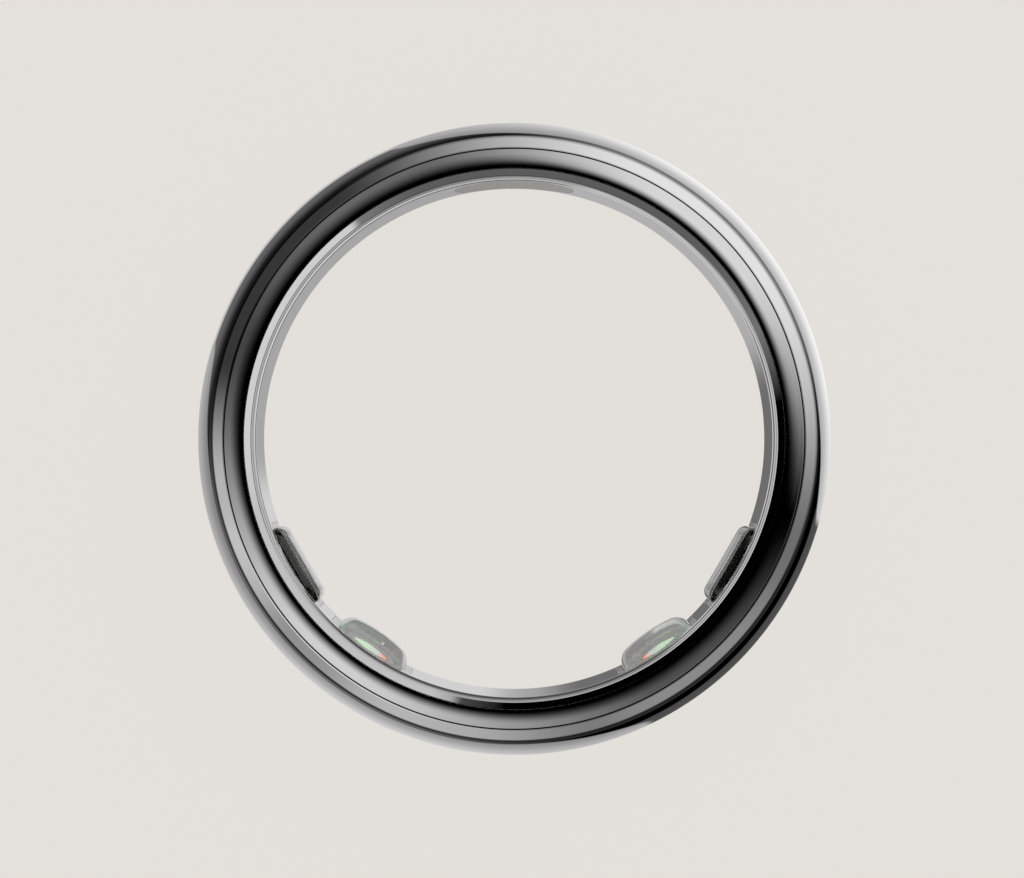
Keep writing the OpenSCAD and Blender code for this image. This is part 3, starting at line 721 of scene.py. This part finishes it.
def make_finishes(c):
    """Makes every finish of the ring."""
    for pattern in (mirror_titanium, satin_titanium, clear_epoxy, well_lining, coverlay_film):
        new_material(pattern.__name__, pattern)
    # the lens feet keep the ground skin of their mould: pale, half clear over the metal, with a 0.1 mm grain
    speckled("frosted_epoxy", "#cfcfcb", "#c6c6c2", 0.1, 0.2, 0.04, Metallic=0.5)
    # cast grey resin, flush with the sleeve: a smooth sheen, with filler grains of 0.05 mm
    speckled("grey_resin", c.window, dimmed(c.window, 0.85), 0.05, 0.3)
    # nitrile rubber: matt, with a dusty 0.04 mm grain
    speckled("nitrile_rubber", c.rubber, dimmed(c.rubber, 0.6), 0.04, 0.75, relief=0.004)
    # moulded black liquid crystal polymer: matt with a fine flow grain
    speckled("black_polymer", c.barrier, dimmed(c.barrier, 0.5), 0.06, 0.5, relief=0.002)
    # silicon photodiode: a dark violet-black face with a slight polish
    speckled("photodiode_silicon", "#12131c", "#0e0e16", 0.2, 0.03, 0.02, IOR=3.5)
    # lit dies under resin
    speckled("green_die", c.green, dimmed(c.green, 0.8), 0.05, 0.4, glow=(c.green, 0.5))
    speckled("red_die", c.red, dimmed(c.red, 0.75), 0.05, 0.4, glow=(c.red, 0.5))
    # pale ceramic-filled moulding round each emitter, bright with its spilt light
    speckled("pale_ceramic", "#b4b4b0", "#acaca8", 0.05, 0.45, IOR=1.1, glow=("#c8cac6", 0.35))
    # grey encapsulant over the dies, cast smooth, with 0.1 mm clouds and a painted glow that stands in for
    # the light it scatters
    speckled("grey_encapsulant", "#a6a6a6", "#9e9e9e", 0.1, 0.3, 0.04, IOR=1.1, glow=("#c2c2c2", 0.33))
    # white ceramic seam between two halves of a photodiode, lifted by a faint painted glow
    speckled("ceramic_seam", "#f0efe9", "#dddcd4", 0.03, 0.4, glow=("#ffffff", 0.1))
    # moulded chip epoxy: charcoal with a fine sparkle of filler
    speckled("chip_epoxy", "#2b2b2e", "#1d1d20", 0.03, 0.55, relief=0.003)
    # nickel plate: soft grey metal with a grain of 0.05 mm
    speckled("nickel_plate", "#c4c2ba", "#b0aea6", 0.05, 0.3, Metallic=1.0)
    # fired ceramic: tan, chalky, with darker specks
    speckled("fired_ceramic", "#a58e70", "#86714f", 0.04, 0.6, relief=0.002)
    # sintered ferrite: dark grey with open grain
    speckled("sintered_ferrite", "#3a3a3d", "#2a2a2d", 0.03, 0.65, relief=0.003)
    # rolled copper: warm and slightly tarnished in 0.4 mm patches
    speckled("rolled_copper", "#c87b51", "#a8603a", 0.4, 0.3, Metallic=1.0)
    # foil laminate pouch: grey metal with soft 0.5 mm creases
    speckled("foil_laminate", "#b9bcc0", "#a2a5aa", 0.5, 0.35, relief=0.01, Metallic=1.0)
    # glass-fibre board under green solder mask: glossy with the weave's 0.15 mm shading
    speckled("solder_mask", "#1f5a34", "#17462a", 0.15, 0.35)
    # foam tape: off-white and matt
    speckled("foam_tape", "#d9d7d0", "#c2c0b8", 0.08, 0.8, relief=0.006)
    # dark cast potting resin: smooth, with a few cloudy swirls of 1 mm
    speckled("dark_resin", "#1d2026", "#14161a", 1, 0.25)


# The hidden pieces that keep their own solids, by finish
CARRIED = {
    "nitrile_rubber": ("front_seal", "rear_seal", "front_liner_seal", "rear_liner_seal", "lens_gaskets",
                       "window_gasket"),
    "well_lining": ("light_barriers",),
    "coverlay_film": ("flex_board", "flex_stiffeners"),
    "chip_epoxy": ("radio_chip", "optical_chip", "power_chip", "charging_chip", "motion_sensor",
                   "memory_chip", "temperature_sensors"),
    "nickel_plate": ("clock_crystal", "battery_tabs"),
    "fired_ceramic": ("chip_capacitors",),
    "sintered_ferrite": ("chip_inductors", "coil_ferrite"),
    "rolled_copper": ("antenna", "charging_coil"),
    "foil_laminate": ("battery_cell",),
    "solder_mask": ("battery_board",),
    "foam_tape": ("battery_pads",),
    "dark_resin": ("potting_resin",),
}


# Small optical parts

# Emitter packages under a domed lens, in millimetres: size round the ring and along the finger, place round
# the ring towards the flat lens and along the finger, radius of the back and of the front, half width of the
# bar between the windows, and the dies in a row
EMITTERS = {
    "green": (1.2, 2.6, 0.42, 0, 11.264, 11.044, 0.04, 4),
    "red": (0.5, 1.2, -0.9, 0.7, 11.251, 11.051, 0.12, 3),
    "infrared": (0.5, 1.2, -0.9, -0.7, 11.251, 11.051, 0.12, 3),
}
# Where their windows end along the finger, where a row of dies lies, and how far its ends stay inside the
# package
WINDOW_END, ROW_PLACE, ROW_MARGIN = 1.27, 0.42, 0.15
# Photodiodes, in millimetres: size round the ring and along the finger, radius of the front and of the back,
# half width and half length of the silicon, inner and outer edge of the guard ring across and along, and half
# width of the seam between the silicon's halves
DIODE_WIDE, DIODE_LONG, DIODE_FRONT, DIODE_BACK = 2.5, 3.4, 11.041, 11.241
SILICON_HALF, SILICON_END, GUARD_ACROSS, GUARD_ALONG, SEAM_HALF = 1.1, 1.55, (1.12, 1.16), (1.58, 1.62), 0.045


def add_block(bm, lo, hi, bevel, index):
    """A bevelled block between two corners, in one material of its mesh."""
    made = bmesh.ops.create_cube(bm, size=1)
    for v in made["verts"]:
        v.co = Vector([(a + b) / 2 + u * (b - a) for a, b, u in zip(lo, hi, v.co)])
    faces = {f for v in made["verts"] for f in v.link_faces}
    for f in faces:
        f.material_index = index
    if bevel:
        corners = set(made["verts"])
        edges = [e for e in bm.edges if e.verts[0] in corners]
        done = bmesh.ops.bevel(bm, geom=edges, offset=bevel, segments=2, affect="EDGES", profile=0.5)
        for f in done["faces"]:
            f.material_index = index


def packaged(name, blocks, turn, **handed):
    """Bevelled blocks, each with its finish, as one piece turned to its place round the ring; millimetres."""
    bm = bmesh.new()
    mesh = bpy.data.meshes.new(name)
    for index, (lo, hi, bevel, finish) in enumerate(blocks):
        add_block(bm, metres(lo), metres(hi), bevel * MM, index)
        mesh.materials.append(finish)
    bm.transform(Matrix.Rotation(turn, 4, "Z"))
    bm.to_mesh(mesh)
    bm.free()
    return settle(new_object(name, mesh), crease=30, **handed)


def row_tree():
    """Geometry nodes that set small dies in a straight row."""
    name = "Row of dies"
    if name in bpy.data.node_groups:
        return bpy.data.node_groups[name]
    inputs = {"Start": "Geometry", "Count": "Int", "Spacing": "Vector", "First": "Vector",
              "Die size": "Vector", "Finish": "Material"}
    tree, given = start_group(name, inputs)
    line = add(tree, "GeometryNodeMeshLine",
               {"Count": given["Count"], "Start Location": given["First"], "Offset": given["Spacing"]})
    die = add(tree, "GeometryNodeMeshCube", {"Size": given["Die size"]})
    rows = add(tree, "GeometryNodeInstanceOnPoints", {"Points": line, "Instance": die})
    return finish_group(tree, rows, given["Finish"])


def die_row(name, count, pitch, first, size, turn, material):
    """A row of dies round the ring, as a plain mesh turned to its place; millimetres."""
    values = {"Count": count, "Spacing": metres((0, pitch, 0)), "First": metres(first),
              "Die size": metres(size), "Finish": material}
    mesh = grown(name, bpy.data.meshes.new(name + "_start"), row_tree(), values)
    mesh.transform(Matrix.Rotation(turn, 4, "Z"))
    return new_object(name, mesh, material)


# Operators: one for each piece or group of like pieces


class RING_OT_outer_shell(Operator):
    """Turns the outer shell from its section"""

    bl_idname = "ring.outer_shell"
    bl_label = "Outer shell"

    def execute(self, context):
        s = context.scene.ring_band
        ob = turned("shell", shell_section(s), finishes()["mirror_titanium"], s.segments)
        settle(ob, replaces=["outer_shell"], slot="polished_titanium")
        return {"FINISHED"}


class RING_OT_side_rings(Operator):
    """Turns the two side rings, one the mirror image of the other"""

    bl_idname = "ring.side_rings"
    bl_label = "Side rings"

    def execute(self, context):
        s = context.scene.ring_band
        section = side_ring_section(s)
        for name, node, side in (("front_lip", "front_side_ring", 1), ("rear_lip", "rear_side_ring", -1)):
            ob = turned(name, [(r, side * z) for r, z in section], finishes()["mirror_titanium"], s.segments)
            settle(ob, replaces=[node], slot="polished_titanium")
        return {"FINISHED"}


class RING_OT_sleeve(Operator):
    """Turns the inner liner and cuts a pocket for each lens and for the window"""

    bl_idname = "ring.sleeve"
    bl_label = "Inner sleeve"

    def execute(self, context):
        s, z = context.scene.ring_band, context.scene.ring_lenses
        metal = finishes()["satin_titanium"]
        ob = turned("sleeve", liner_section(s), metal, s.segments)
        face_outwards(ob.data)
        # the cutters reach through the sleeve, and the cast pieces fill their pockets but for a hair
        near, far = s.bore_radius - 1 * MM, s.bore_radius + s.liner_wall + 0.5 * MM
        fit = 0.2 * s.gap
        foot = (z.foot_half_width + fit, z.foot_half_length + fit, z.foot_corner + fit)
        window = (z.window_half_width + fit, z.window_half_length + fit, z.window_corner + fit)
        cutters = [prism("cut_" + name, *foot, near, far, turn) for name, turn, domed, side in lens_turns(z)]
        cutters.append(prism("cut_window", *window, near, far, QUARTER))
        for cutter in cutters:
            cut = ob.modifiers.new("Pocket", "BOOLEAN")
            cut.operation = "DIFFERENCE"
            cut.solver = "EXACT"
            cut.object = cutter
        made = new_object("bore_sleeve", plain_mesh(ob), metal)
        for cutter in cutters:
            bpy.data.objects.remove(cutter)
        settle(made, replaces=["inner_liner"], slot="liner_metal")
        return {"FINISHED"}


class RING_OT_lenses(Operator):
    """Casts the four clear lenses with their feet and the resin under them"""

    bl_idname = "ring.lenses"
    bl_label = "Sensor lenses"

    def execute(self, context):
        s, z = context.scene.ring_band, context.scene.ring_lenses
        clear, frosted = finishes()["clear_epoxy"], finishes()["frosted_epoxy"]
        for name, turn, domed, side in lens_turns(z):
            rings, foot_rings = lens_rings(s, z, domed)
            ob = lofted(name.replace("lens", "clear_lens"), rings, turn, clear, frosted, foot_rings)
            settle(ob, crease=35, replaces=[name], slot="clear_lens")
        return {"FINISHED"}


class RING_OT_window(Operator):
    """Casts the flush charging window"""

    bl_idname = "ring.window"
    bl_label = "Charging window"

    def execute(self, context):
        s, z = context.scene.ring_band, context.scene.ring_lenses
        ob = lofted("flush_window", window_rings(s, z), QUARTER, finishes()["grey_resin"])
        settle(ob, crease=20, replaces=["charging_window"], slot="window_resin")
        return {"FINISHED"}


class RING_OT_optics(Operator):
    """Sets the emitters and the photodiodes on the board, under the lenses"""

    bl_idname = "ring.optics"
    bl_label = "Emitters and photodiodes"

    def emitter(self, label, kind, side, turn):
        """A pale package with grey encapsulant in its windows, a bar between them and rows of lit dies."""
        m = finishes()
        pale, grey = m["pale_ceramic"], m["grey_encapsulant"]
        name = f"{label}_{kind}_package"
        slot = "black_plastic" if kind == "infrared" else kind + "_emitter"
        wide, long, across, along, back, front, bar, count = EMITTERS[kind]
        across *= side
        left, right, near, far = across - wide / 2, across + wide / 2, along - long / 2, along + long / 2
        blocks = [((front + 0.05, left, near), (back, right, far), 0.02, pale)]
        ends = [end for end in (-1, 1) if near < end * ROW_PLACE < far]
        for end in ends:
            lo, hi = sorted((end * bar, end * WINDOW_END))
            blocks.append(((front, left + 0.01, lo), (front + 0.06, right - 0.01, hi), 0.01, grey))
        packaged(name, blocks, turn, replaces=[kind + "_leds"], slot=slot)
        # the infrared dies glow faintly red
        finish = m["green_die" if kind == "green" else "red_die"]
        pitch = (wide - 2 * ROW_MARGIN) / (count - 1)
        size = (0.02, 0.6 * pitch, 0.09)
        for end in ends:
            row_name = f"{name}_dies_{'front' if end > 0 else 'rear'}"
            first = (front - 0.004, left + ROW_MARGIN, end * ROW_PLACE)
            settle(die_row(row_name, count, pitch, first, size, turn, finish), crease=30, slot=slot)

    def photodiode(self, label, turn):
        """A black package with two halves of silicon, a pale seam between them and a metal guard ring."""
        m = finishes()
        front, out, end = DIODE_FRONT, GUARD_ACROSS[1], GUARD_ALONG[0]
        wide, long = DIODE_WIDE / 2, DIODE_LONG / 2
        blocks = [((front + 0.03, -wide, -long), (DIODE_BACK, wide, long), 0.02, m["black_polymer"])]
        for side in (-1, 1):
            half, rail, edge = (
                sorted((side * a, side * b)) for a, b in ((0.05, SILICON_END), GUARD_ALONG, GUARD_ACROSS)
            )
            blocks += [
                ((front, -SILICON_HALF, half[0]), (front + 0.04, SILICON_HALF, half[1]), 0.01,
                 m["photodiode_silicon"]),
                ((front + 0.005, -out, rail[0]), (front + 0.035, out, rail[1]), 0, m["nickel_plate"]),
                ((front + 0.005, edge[0], -end), (front + 0.035, edge[1], end), 0, m["nickel_plate"]),
            ]
        blocks.append(((front + 0.004, -SILICON_HALF, -SEAM_HALF),
                       (front + 0.036, SILICON_HALF, SEAM_HALF), 0, m["ceramic_seam"]))
        packaged(label + "_photodiode", blocks, turn, replaces=["photodiodes"], slot="black_plastic")

    def execute(self, context):
        for name, turn, domed, side in lens_turns(context.scene.ring_lenses):
            label = "right" if side > 0 else "left"
            if domed:
                for kind in EMITTERS:
                    self.emitter(label, kind, side, turn)
            else:
                self.photodiode(label, turn)
        return {"FINISHED"}


class RING_OT_hidden_pieces(Operator):
    """Gives each hidden piece that keeps its own solid its finish"""

    bl_idname = "ring.hidden_pieces"
    bl_label = "Hidden pieces"

    def execute(self, context):
        made = finishes()
        for finish, nodes in CARRIED.items():
            for node in nodes:
                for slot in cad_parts[node].material_slots:
                    slot.material = made[finish]
        return {"FINISHED"}


# What the polished metal sees of the studio. Angles are in degrees, round the ring clockwise from the window,
# and down from overhead. A softbox is its middle round the ring, the half width of its even part and of its
# whole fall-off, and its brightness. A fade is points of an angle down from overhead and a level.

# Overhead softboxes, the angles at which they start to show and show in full, and whether they narrow upwards
OVERHEAD = (
    (((43, 8, 63, 1.08),), 5.5, 30, True),
    (((220, 0, 75, 1.03),), 6, 38, True),
    (((335, 10, 70, 0.22), (150, 5, 45, 0.13)), 7, 50, False),
)
# Softboxes at the side, their even level and their fades: the key, which reaches down to the horizon, its
# narrower foot down to the backdrop's far end, the others, which end above the horizon, and the faint horizon
BESIDE = (
    (((42, 12, 80, 1.18),), 0.0, (((84, 1), (98, 0.42)), ((97, 1), (101, 0)))),
    (((42, 15, 45, 0.38),), 0.0, (((101, 1), (112, 0.5)), ((97, 0), (101, 1)))),
    (((142, 8, 45, 0.35), (192, 2, 32, 0.6), (225, 10, 35, 0.4), (257, 4, 28, 0.68)), 0.06,
     (((84.3, 1), (90.5, 0.07)),)),
    (((225, 15, 52, 0.16),), 0.015, (((99, 0), (104, 1)),)),
)
# The pale backdrop: its softboxes, its even level, and how it dims towards its far end
BACKDROP_GLOW = ((55, 15, 75, 0.6), (205, 5, 55, 0.22))
BACKDROP_LEVEL = 0.56
BACKDROP_FADE = ((112.3, 0.05), (116.5, 0.62), (142, 1))
# Two black flags that stand on the backdrop: middle, half width near the ring, how far they widen outwards,
# and the fade of their own faint light
FLAGS = (
    (130, 24.5, 25, ((128, 0), (130.5, 0.105))),
    (312.5, 25, 31, ((112, 0), (133, 0.18), (147, 0.18), (152, 0.68))),
)
# The card in the bore: the softboxes and the even level of its middle, then of each ring round that, with the
# radii in millimetres between which the ring takes over, and the middle, half width and fall-off's end of a
# black part, where it has one. They serve the sleeve's blend and flare, the lens crests and the bore's wall.
CARD_MIDDLE = (((35, 20, 70, 0.4), (268, 30, 62, 0.2), (110, 30, 60, 0.2)), 0.32)
CARD_RINGS = (
    (1.4, 2.2, ((80, 60, 68, 0.65), (240, 10, 60, 0.23)), 0.32, None),
    (3.0, 3.8, ((328, 88, 108, 0.58), (300, 10, 60, 0.3), (108, 25, 50, 0.12)), 0.1, None),
    (6.8, 7.2, ((78, 64, 67, 0.68), (115, 25, 45, 0.15), (255, 5, 30, 0.1)), 0.17, (312, 50, 66)),
    (8.45, 8.55, ((230, 35, 70, 0.4), (120, 25, 60, 0.08)), 0.42, None),
    (9.6, 9.75, ((122, 42, 56, -0.25), (222, 33, 45, 0.28), (35, 20, 45, 0.06)), 0.42, None),
)

# The floor's half width, and the share of its own even colour in what the camera and the glass see of it
FLOOR_REACH, FLOOR_SHARE = 1.5, 0.98
LAMP_SIZE, LAMP_POWER, LAMP_PLACE = 0.25, 0.35, (0.16, 0.18, 0.28)
# The camera: distance from the ring's middle, focal length and sensor in millimetres, and the shift in pixels
# of an image 1024 pixels wide
CAMERA_DISTANCE, FOCAL_LENGTH, SENSOR_WIDTH = 0.18, 156.1, 36
IMAGE_WIDTH, SHIFT_X, SHIFT_Y = 1024, -2.2, -0.15


def round_the_ring(tree, place):
    """The angle round the ring of a place or direction, clockwise from the window, and its height."""
    parts = add(tree, "ShaderNodeSeparateXYZ", (place,)).outputs
    return add(tree, MATH, (parts[0], parts[1]), operation="ARCTAN2"), parts[2]


def away(tree, turn, middle):
    """Angle between the direction and a place round the ring, from 0 to pi."""
    off = add(tree, MATH, (turn, math.radians(middle)), operation="SUBTRACT")
    off = add(tree, MATH, (off, math.pi, -math.pi), operation="WRAP")
    return add(tree, MATH, (off,), operation="ABSOLUTE")


def softboxes(tree, turn, boxes, level):
    """Softboxes side by side round the ring, over an even level."""
    for middle, even, fall, brightness in boxes:
        run = (away(tree, turn, middle), math.radians(even), math.radians(fall), brightness, 0)
        shape = add(tree, RAMP, run, interpolation_type="SMOOTHSTEP")
        level = add(tree, MATH, (level, shape), operation="ADD")
    return level


def fade(tree, lean, points, **settings):
    """A level by the angle down from overhead, in straight runs between points of degrees and level."""
    total, offset = None, 0
    for (start, low), (end, high) in zip(points, points[1:]):
        if low == high:
            continue
        edges = math.radians(start), math.radians(end)
        run = add(tree, RAMP, (lean, *edges, low - offset, high - offset), **settings)
        total = run if total is None else add(tree, MATH, (total, run), operation="ADD")
        offset = high
    return total


class RING_OT_studio(Operator):
    """Builds the floor, the soft light and the camera"""

    bl_idname = "ring.studio"
    bl_label = "Studio"

    def floor(self, c, level):
        material = bpy.data.materials.new("painted_floor")
        tree = empty_tree(material)
        paint = add(tree, "ShaderNodeBsdfPrincipled",
                    {"Base Color": c.floor, "Roughness": 0.9, "Specular IOR Level": 0.0})
        # the camera and the glass see mostly the floor's own colour, so its shadows stay faint
        own = add(tree, "ShaderNodeEmission", (c.floor, 1.0))
        ray = add(tree, "ShaderNodeLightPath").outputs
        seen = add(tree, MATH, (ray["Is Camera Ray"], ray["Is Glossy Ray"]), operation="ADD")
        seen = add(tree, MATH, (seen, ray["Is Transmission Ray"]), operation="ADD", use_clamp=True)
        share = add(tree, MATH, (seen, FLOOR_SHARE), operation="MULTIPLY")
        mixed = add(tree, "ShaderNodeMixShader", (share, paint, own))
        add(tree, "ShaderNodeOutputMaterial", (mixed,))
        mesh = bpy.data.meshes.new("floor")
        corners = ((-1, -1), (1, -1), (1, 1), (-1, 1))
        mesh.from_pydata([(x * FLOOR_REACH, y * FLOOR_REACH, level) for x, y in corners], [], [(0, 1, 2, 3)])
        floor = new_object("floor", mesh, material)
        # the metal sees the backdrop of the surround instead, with its flags
        floor.visible_glossy = False

    def bore_card(self, s):
        """A graduated card on the floor inside the bore, which only the metal sees."""
        material = bpy.data.materials.new("graduated_card")
        tree = empty_tree(material)
        place = add(tree, PLACE).outputs["Object"]
        turn = round_the_ring(tree, place)[0]
        reach = add(tree, VECTOR, (place,), operation="LENGTH").outputs["Value"]
        boxes, even = CARD_MIDDLE
        level = softboxes(tree, turn, boxes, even)
        for start, end, boxes, even, black in CARD_RINGS:
            part = softboxes(tree, turn, boxes, even)
            if black:
                middle, half, fall = black
                lit = add(tree, RAMP, (away(tree, turn, middle), math.radians(half), math.radians(fall)))
                part = add(tree, MATH, (part, lit), operation="MULTIPLY")
            share = add(tree, RAMP, (reach, start * MM, end * MM))
            level = add(tree, MIX, {0: share, 2: level, 3: part})
        glow = add(tree, "ShaderNodeEmission", ("#ffffff", level))
        add(tree, "ShaderNodeOutputMaterial", (glow,))
        rim = arc((0, 0), s.bore_radius - 0.05 * MM, 0, math.tau, 96)[:-1]
        mesh = bpy.data.meshes.new("graduated_card")
        mesh.from_pydata([(x, y, 0) for x, y in rim], [], [tuple(range(len(rim)))])
        ob = new_object("graduated_card", mesh, material)
        ob.location.z = 0.03 * MM - s.half_width
        ob.visible_camera = ob.visible_diffuse = ob.visible_transmission = ob.visible_shadow = False

    def surround(self, c):
        """The world: the studio for the metal, and the floor's even colour for all else."""
        world = bpy.data.worlds.new("studio")
        bpy.context.scene.world = world
        tree = empty_tree(world)
        turn, height = round_the_ring(tree, add(tree, PLACE).outputs["Generated"])
        lean = add(tree, MATH, (height,), operation="ARCCOSINE")
        # overhead the studio is dark, where the camera hangs, and the softboxes narrow towards it
        narrow = fade(tree, lean, ((8, 2), (42, 1)))
        high = 0.0
        for boxes, dark, full, narrows in OVERHEAD:
            part = softboxes(tree, turn, boxes, 0.0)
            if narrows:
                part = add(tree, MATH, (part, narrow), operation="POWER")
            shown = fade(tree, lean, ((dark, 0), (full, 1)), interpolation_type="SMOOTHSTEP")
            part = add(tree, MATH, (part, shown), operation="MULTIPLY")
            high = add(tree, MATH, (part, high), operation="ADD")
        side = 0.0
        for boxes, even, fades in BESIDE:
            part = softboxes(tree, turn, boxes, even)
            for points in fades:
                part = add(tree, MATH, (part, fade(tree, lean, points)), operation="MULTIPLY")
            side = add(tree, MATH, (part, side), operation="ADD")
        share = fade(tree, lean, ((52, 0), (78, 1)), interpolation_type="SMOOTHSTEP")
        upper = add(tree, MIX, {0: share, 2: high, 3: side})
        backdrop = softboxes(tree, turn, BACKDROP_GLOW, BACKDROP_LEVEL)
        backdrop = add(tree, MATH, (backdrop, fade(tree, lean, BACKDROP_FADE)), operation="MULTIPLY")
        spread = add(tree, MATH, (fade(tree, lean, ((112, 1), (160, 0))), 4.2), operation="POWER")
        soft = math.radians(0.8)
        for middle, near, wider, own_light in FLAGS:
            widened = (spread, math.radians(wider), math.radians(near))
            half = add(tree, MATH, widened, operation="MULTIPLY_ADD")
            over = add(tree, MATH, (away(tree, turn, middle), half), operation="SUBTRACT")
            mask = add(tree, RAMP, (over, -soft, soft, 1, 0))
            backdrop = add(tree, MIX, {0: mask, 2: backdrop, 3: fade(tree, lean, own_light)})
        level = add(tree, MIX, {0: fade(tree, lean, ((111, 0), (113, 1))), 2: upper, 3: backdrop})
        studio = add(tree, "ShaderNodeBackground", ("#ffffff", level))
        pale = add(tree, "ShaderNodeBackground", (c.floor, 1.0))
        ray = add(tree, "ShaderNodeLightPath").outputs
        mirrored = add(tree, MATH, (ray["Is Glossy Ray"], ray["Is Transmission Ray"]), operation="SUBTRACT",
                       use_clamp=True)
        mixed = add(tree, "ShaderNodeMixShader", (mirrored, pale, studio))
        add(tree, "ShaderNodeOutputWorld", (mixed,))

    def key_lamp(self):
        lamp = bpy.data.lights.new("key_softbox", "AREA")
        lamp.shape = "DISK"
        lamp.size = LAMP_SIZE
        lamp.energy = LAMP_POWER
        ob = bpy.data.objects.new("key_softbox", lamp)
        bpy.context.scene.collection.objects.link(ob)
        ob.location = LAMP_PLACE
        ob.rotation_euler = (-ob.location).to_track_quat("-Z", "Y").to_euler()
        ob.visible_glossy = False

    def camera(self):
        data = bpy.data.cameras.new("camera")
        data.sensor_width = SENSOR_WIDTH
        data.lens = FOCAL_LENGTH
        data.shift_x, data.shift_y = SHIFT_X / IMAGE_WIDTH, SHIFT_Y / IMAGE_WIDTH
        data.clip_start, data.clip_end = 0.01, 10
        ob = bpy.data.objects.new("camera", data)
        bpy.context.scene.collection.objects.link(ob)
        ob.location = (0, 0, CAMERA_DISTANCE)
        bpy.context.scene.camera = ob

    def execute(self, context):
        s, c = context.scene.ring_band, context.scene.ring_colours
        self.floor(c, -s.half_width)
        self.bore_card(s)
        self.surround(c)
        self.key_lamp()
        self.camera()
        context.scene.view_settings.view_transform = "Standard"
        return {"FINISHED"}


class RING_PT_panel(Panel):
    """Lists the ring's sizes, colours and building steps"""

    bl_idname = "RING_PT_panel"
    bl_label = "Smart ring"
    bl_space_type = "VIEW_3D"
    bl_region_type = "UI"
    bl_category = "Smart ring"

    def draw(self, context):
        layout = self.layout
        for group in (context.scene.ring_band, context.scene.ring_lenses, context.scene.ring_colours):
            box = layout.box()
            for name in group.__annotations__:
                box.prop(group, name)
        for operator in STEPS:
            layout.operator(operator.bl_idname)


GROUPS = (RingBandSizes, RingLensSizes, RingColours)
STEPS = (
    RING_OT_outer_shell, RING_OT_side_rings, RING_OT_sleeve, RING_OT_lenses, RING_OT_window,
    RING_OT_optics, RING_OT_hidden_pieces, RING_OT_studio,
)


def register():
    for cls in (*GROUPS, *STEPS, RING_PT_panel):
        bpy.utils.register_class(cls)
    bpy.types.Scene.ring_band = PointerProperty(type=RingBandSizes)
    bpy.types.Scene.ring_lenses = PointerProperty(type=RingLensSizes)
    bpy.types.Scene.ring_colours = PointerProperty(type=RingColours)


def unregister():
    del bpy.types.Scene.ring_colours
    del bpy.types.Scene.ring_lenses
    del bpy.types.Scene.ring_band
    for cls in reversed((*GROUPS, *STEPS, RING_PT_panel)):
        bpy.utils.unregister_class(cls)


def main():
    register()
    bpy.ops.ring.outer_shell()
    bpy.ops.ring.side_rings()
    bpy.ops.ring.sleeve()
    bpy.ops.ring.lenses()
    bpy.ops.ring.window()
    bpy.ops.ring.optics()
    bpy.ops.ring.hidden_pieces()
    bpy.ops.ring.studio()
    bpy.context.view_layer.update()


if __name__ == "__main__":
    main()
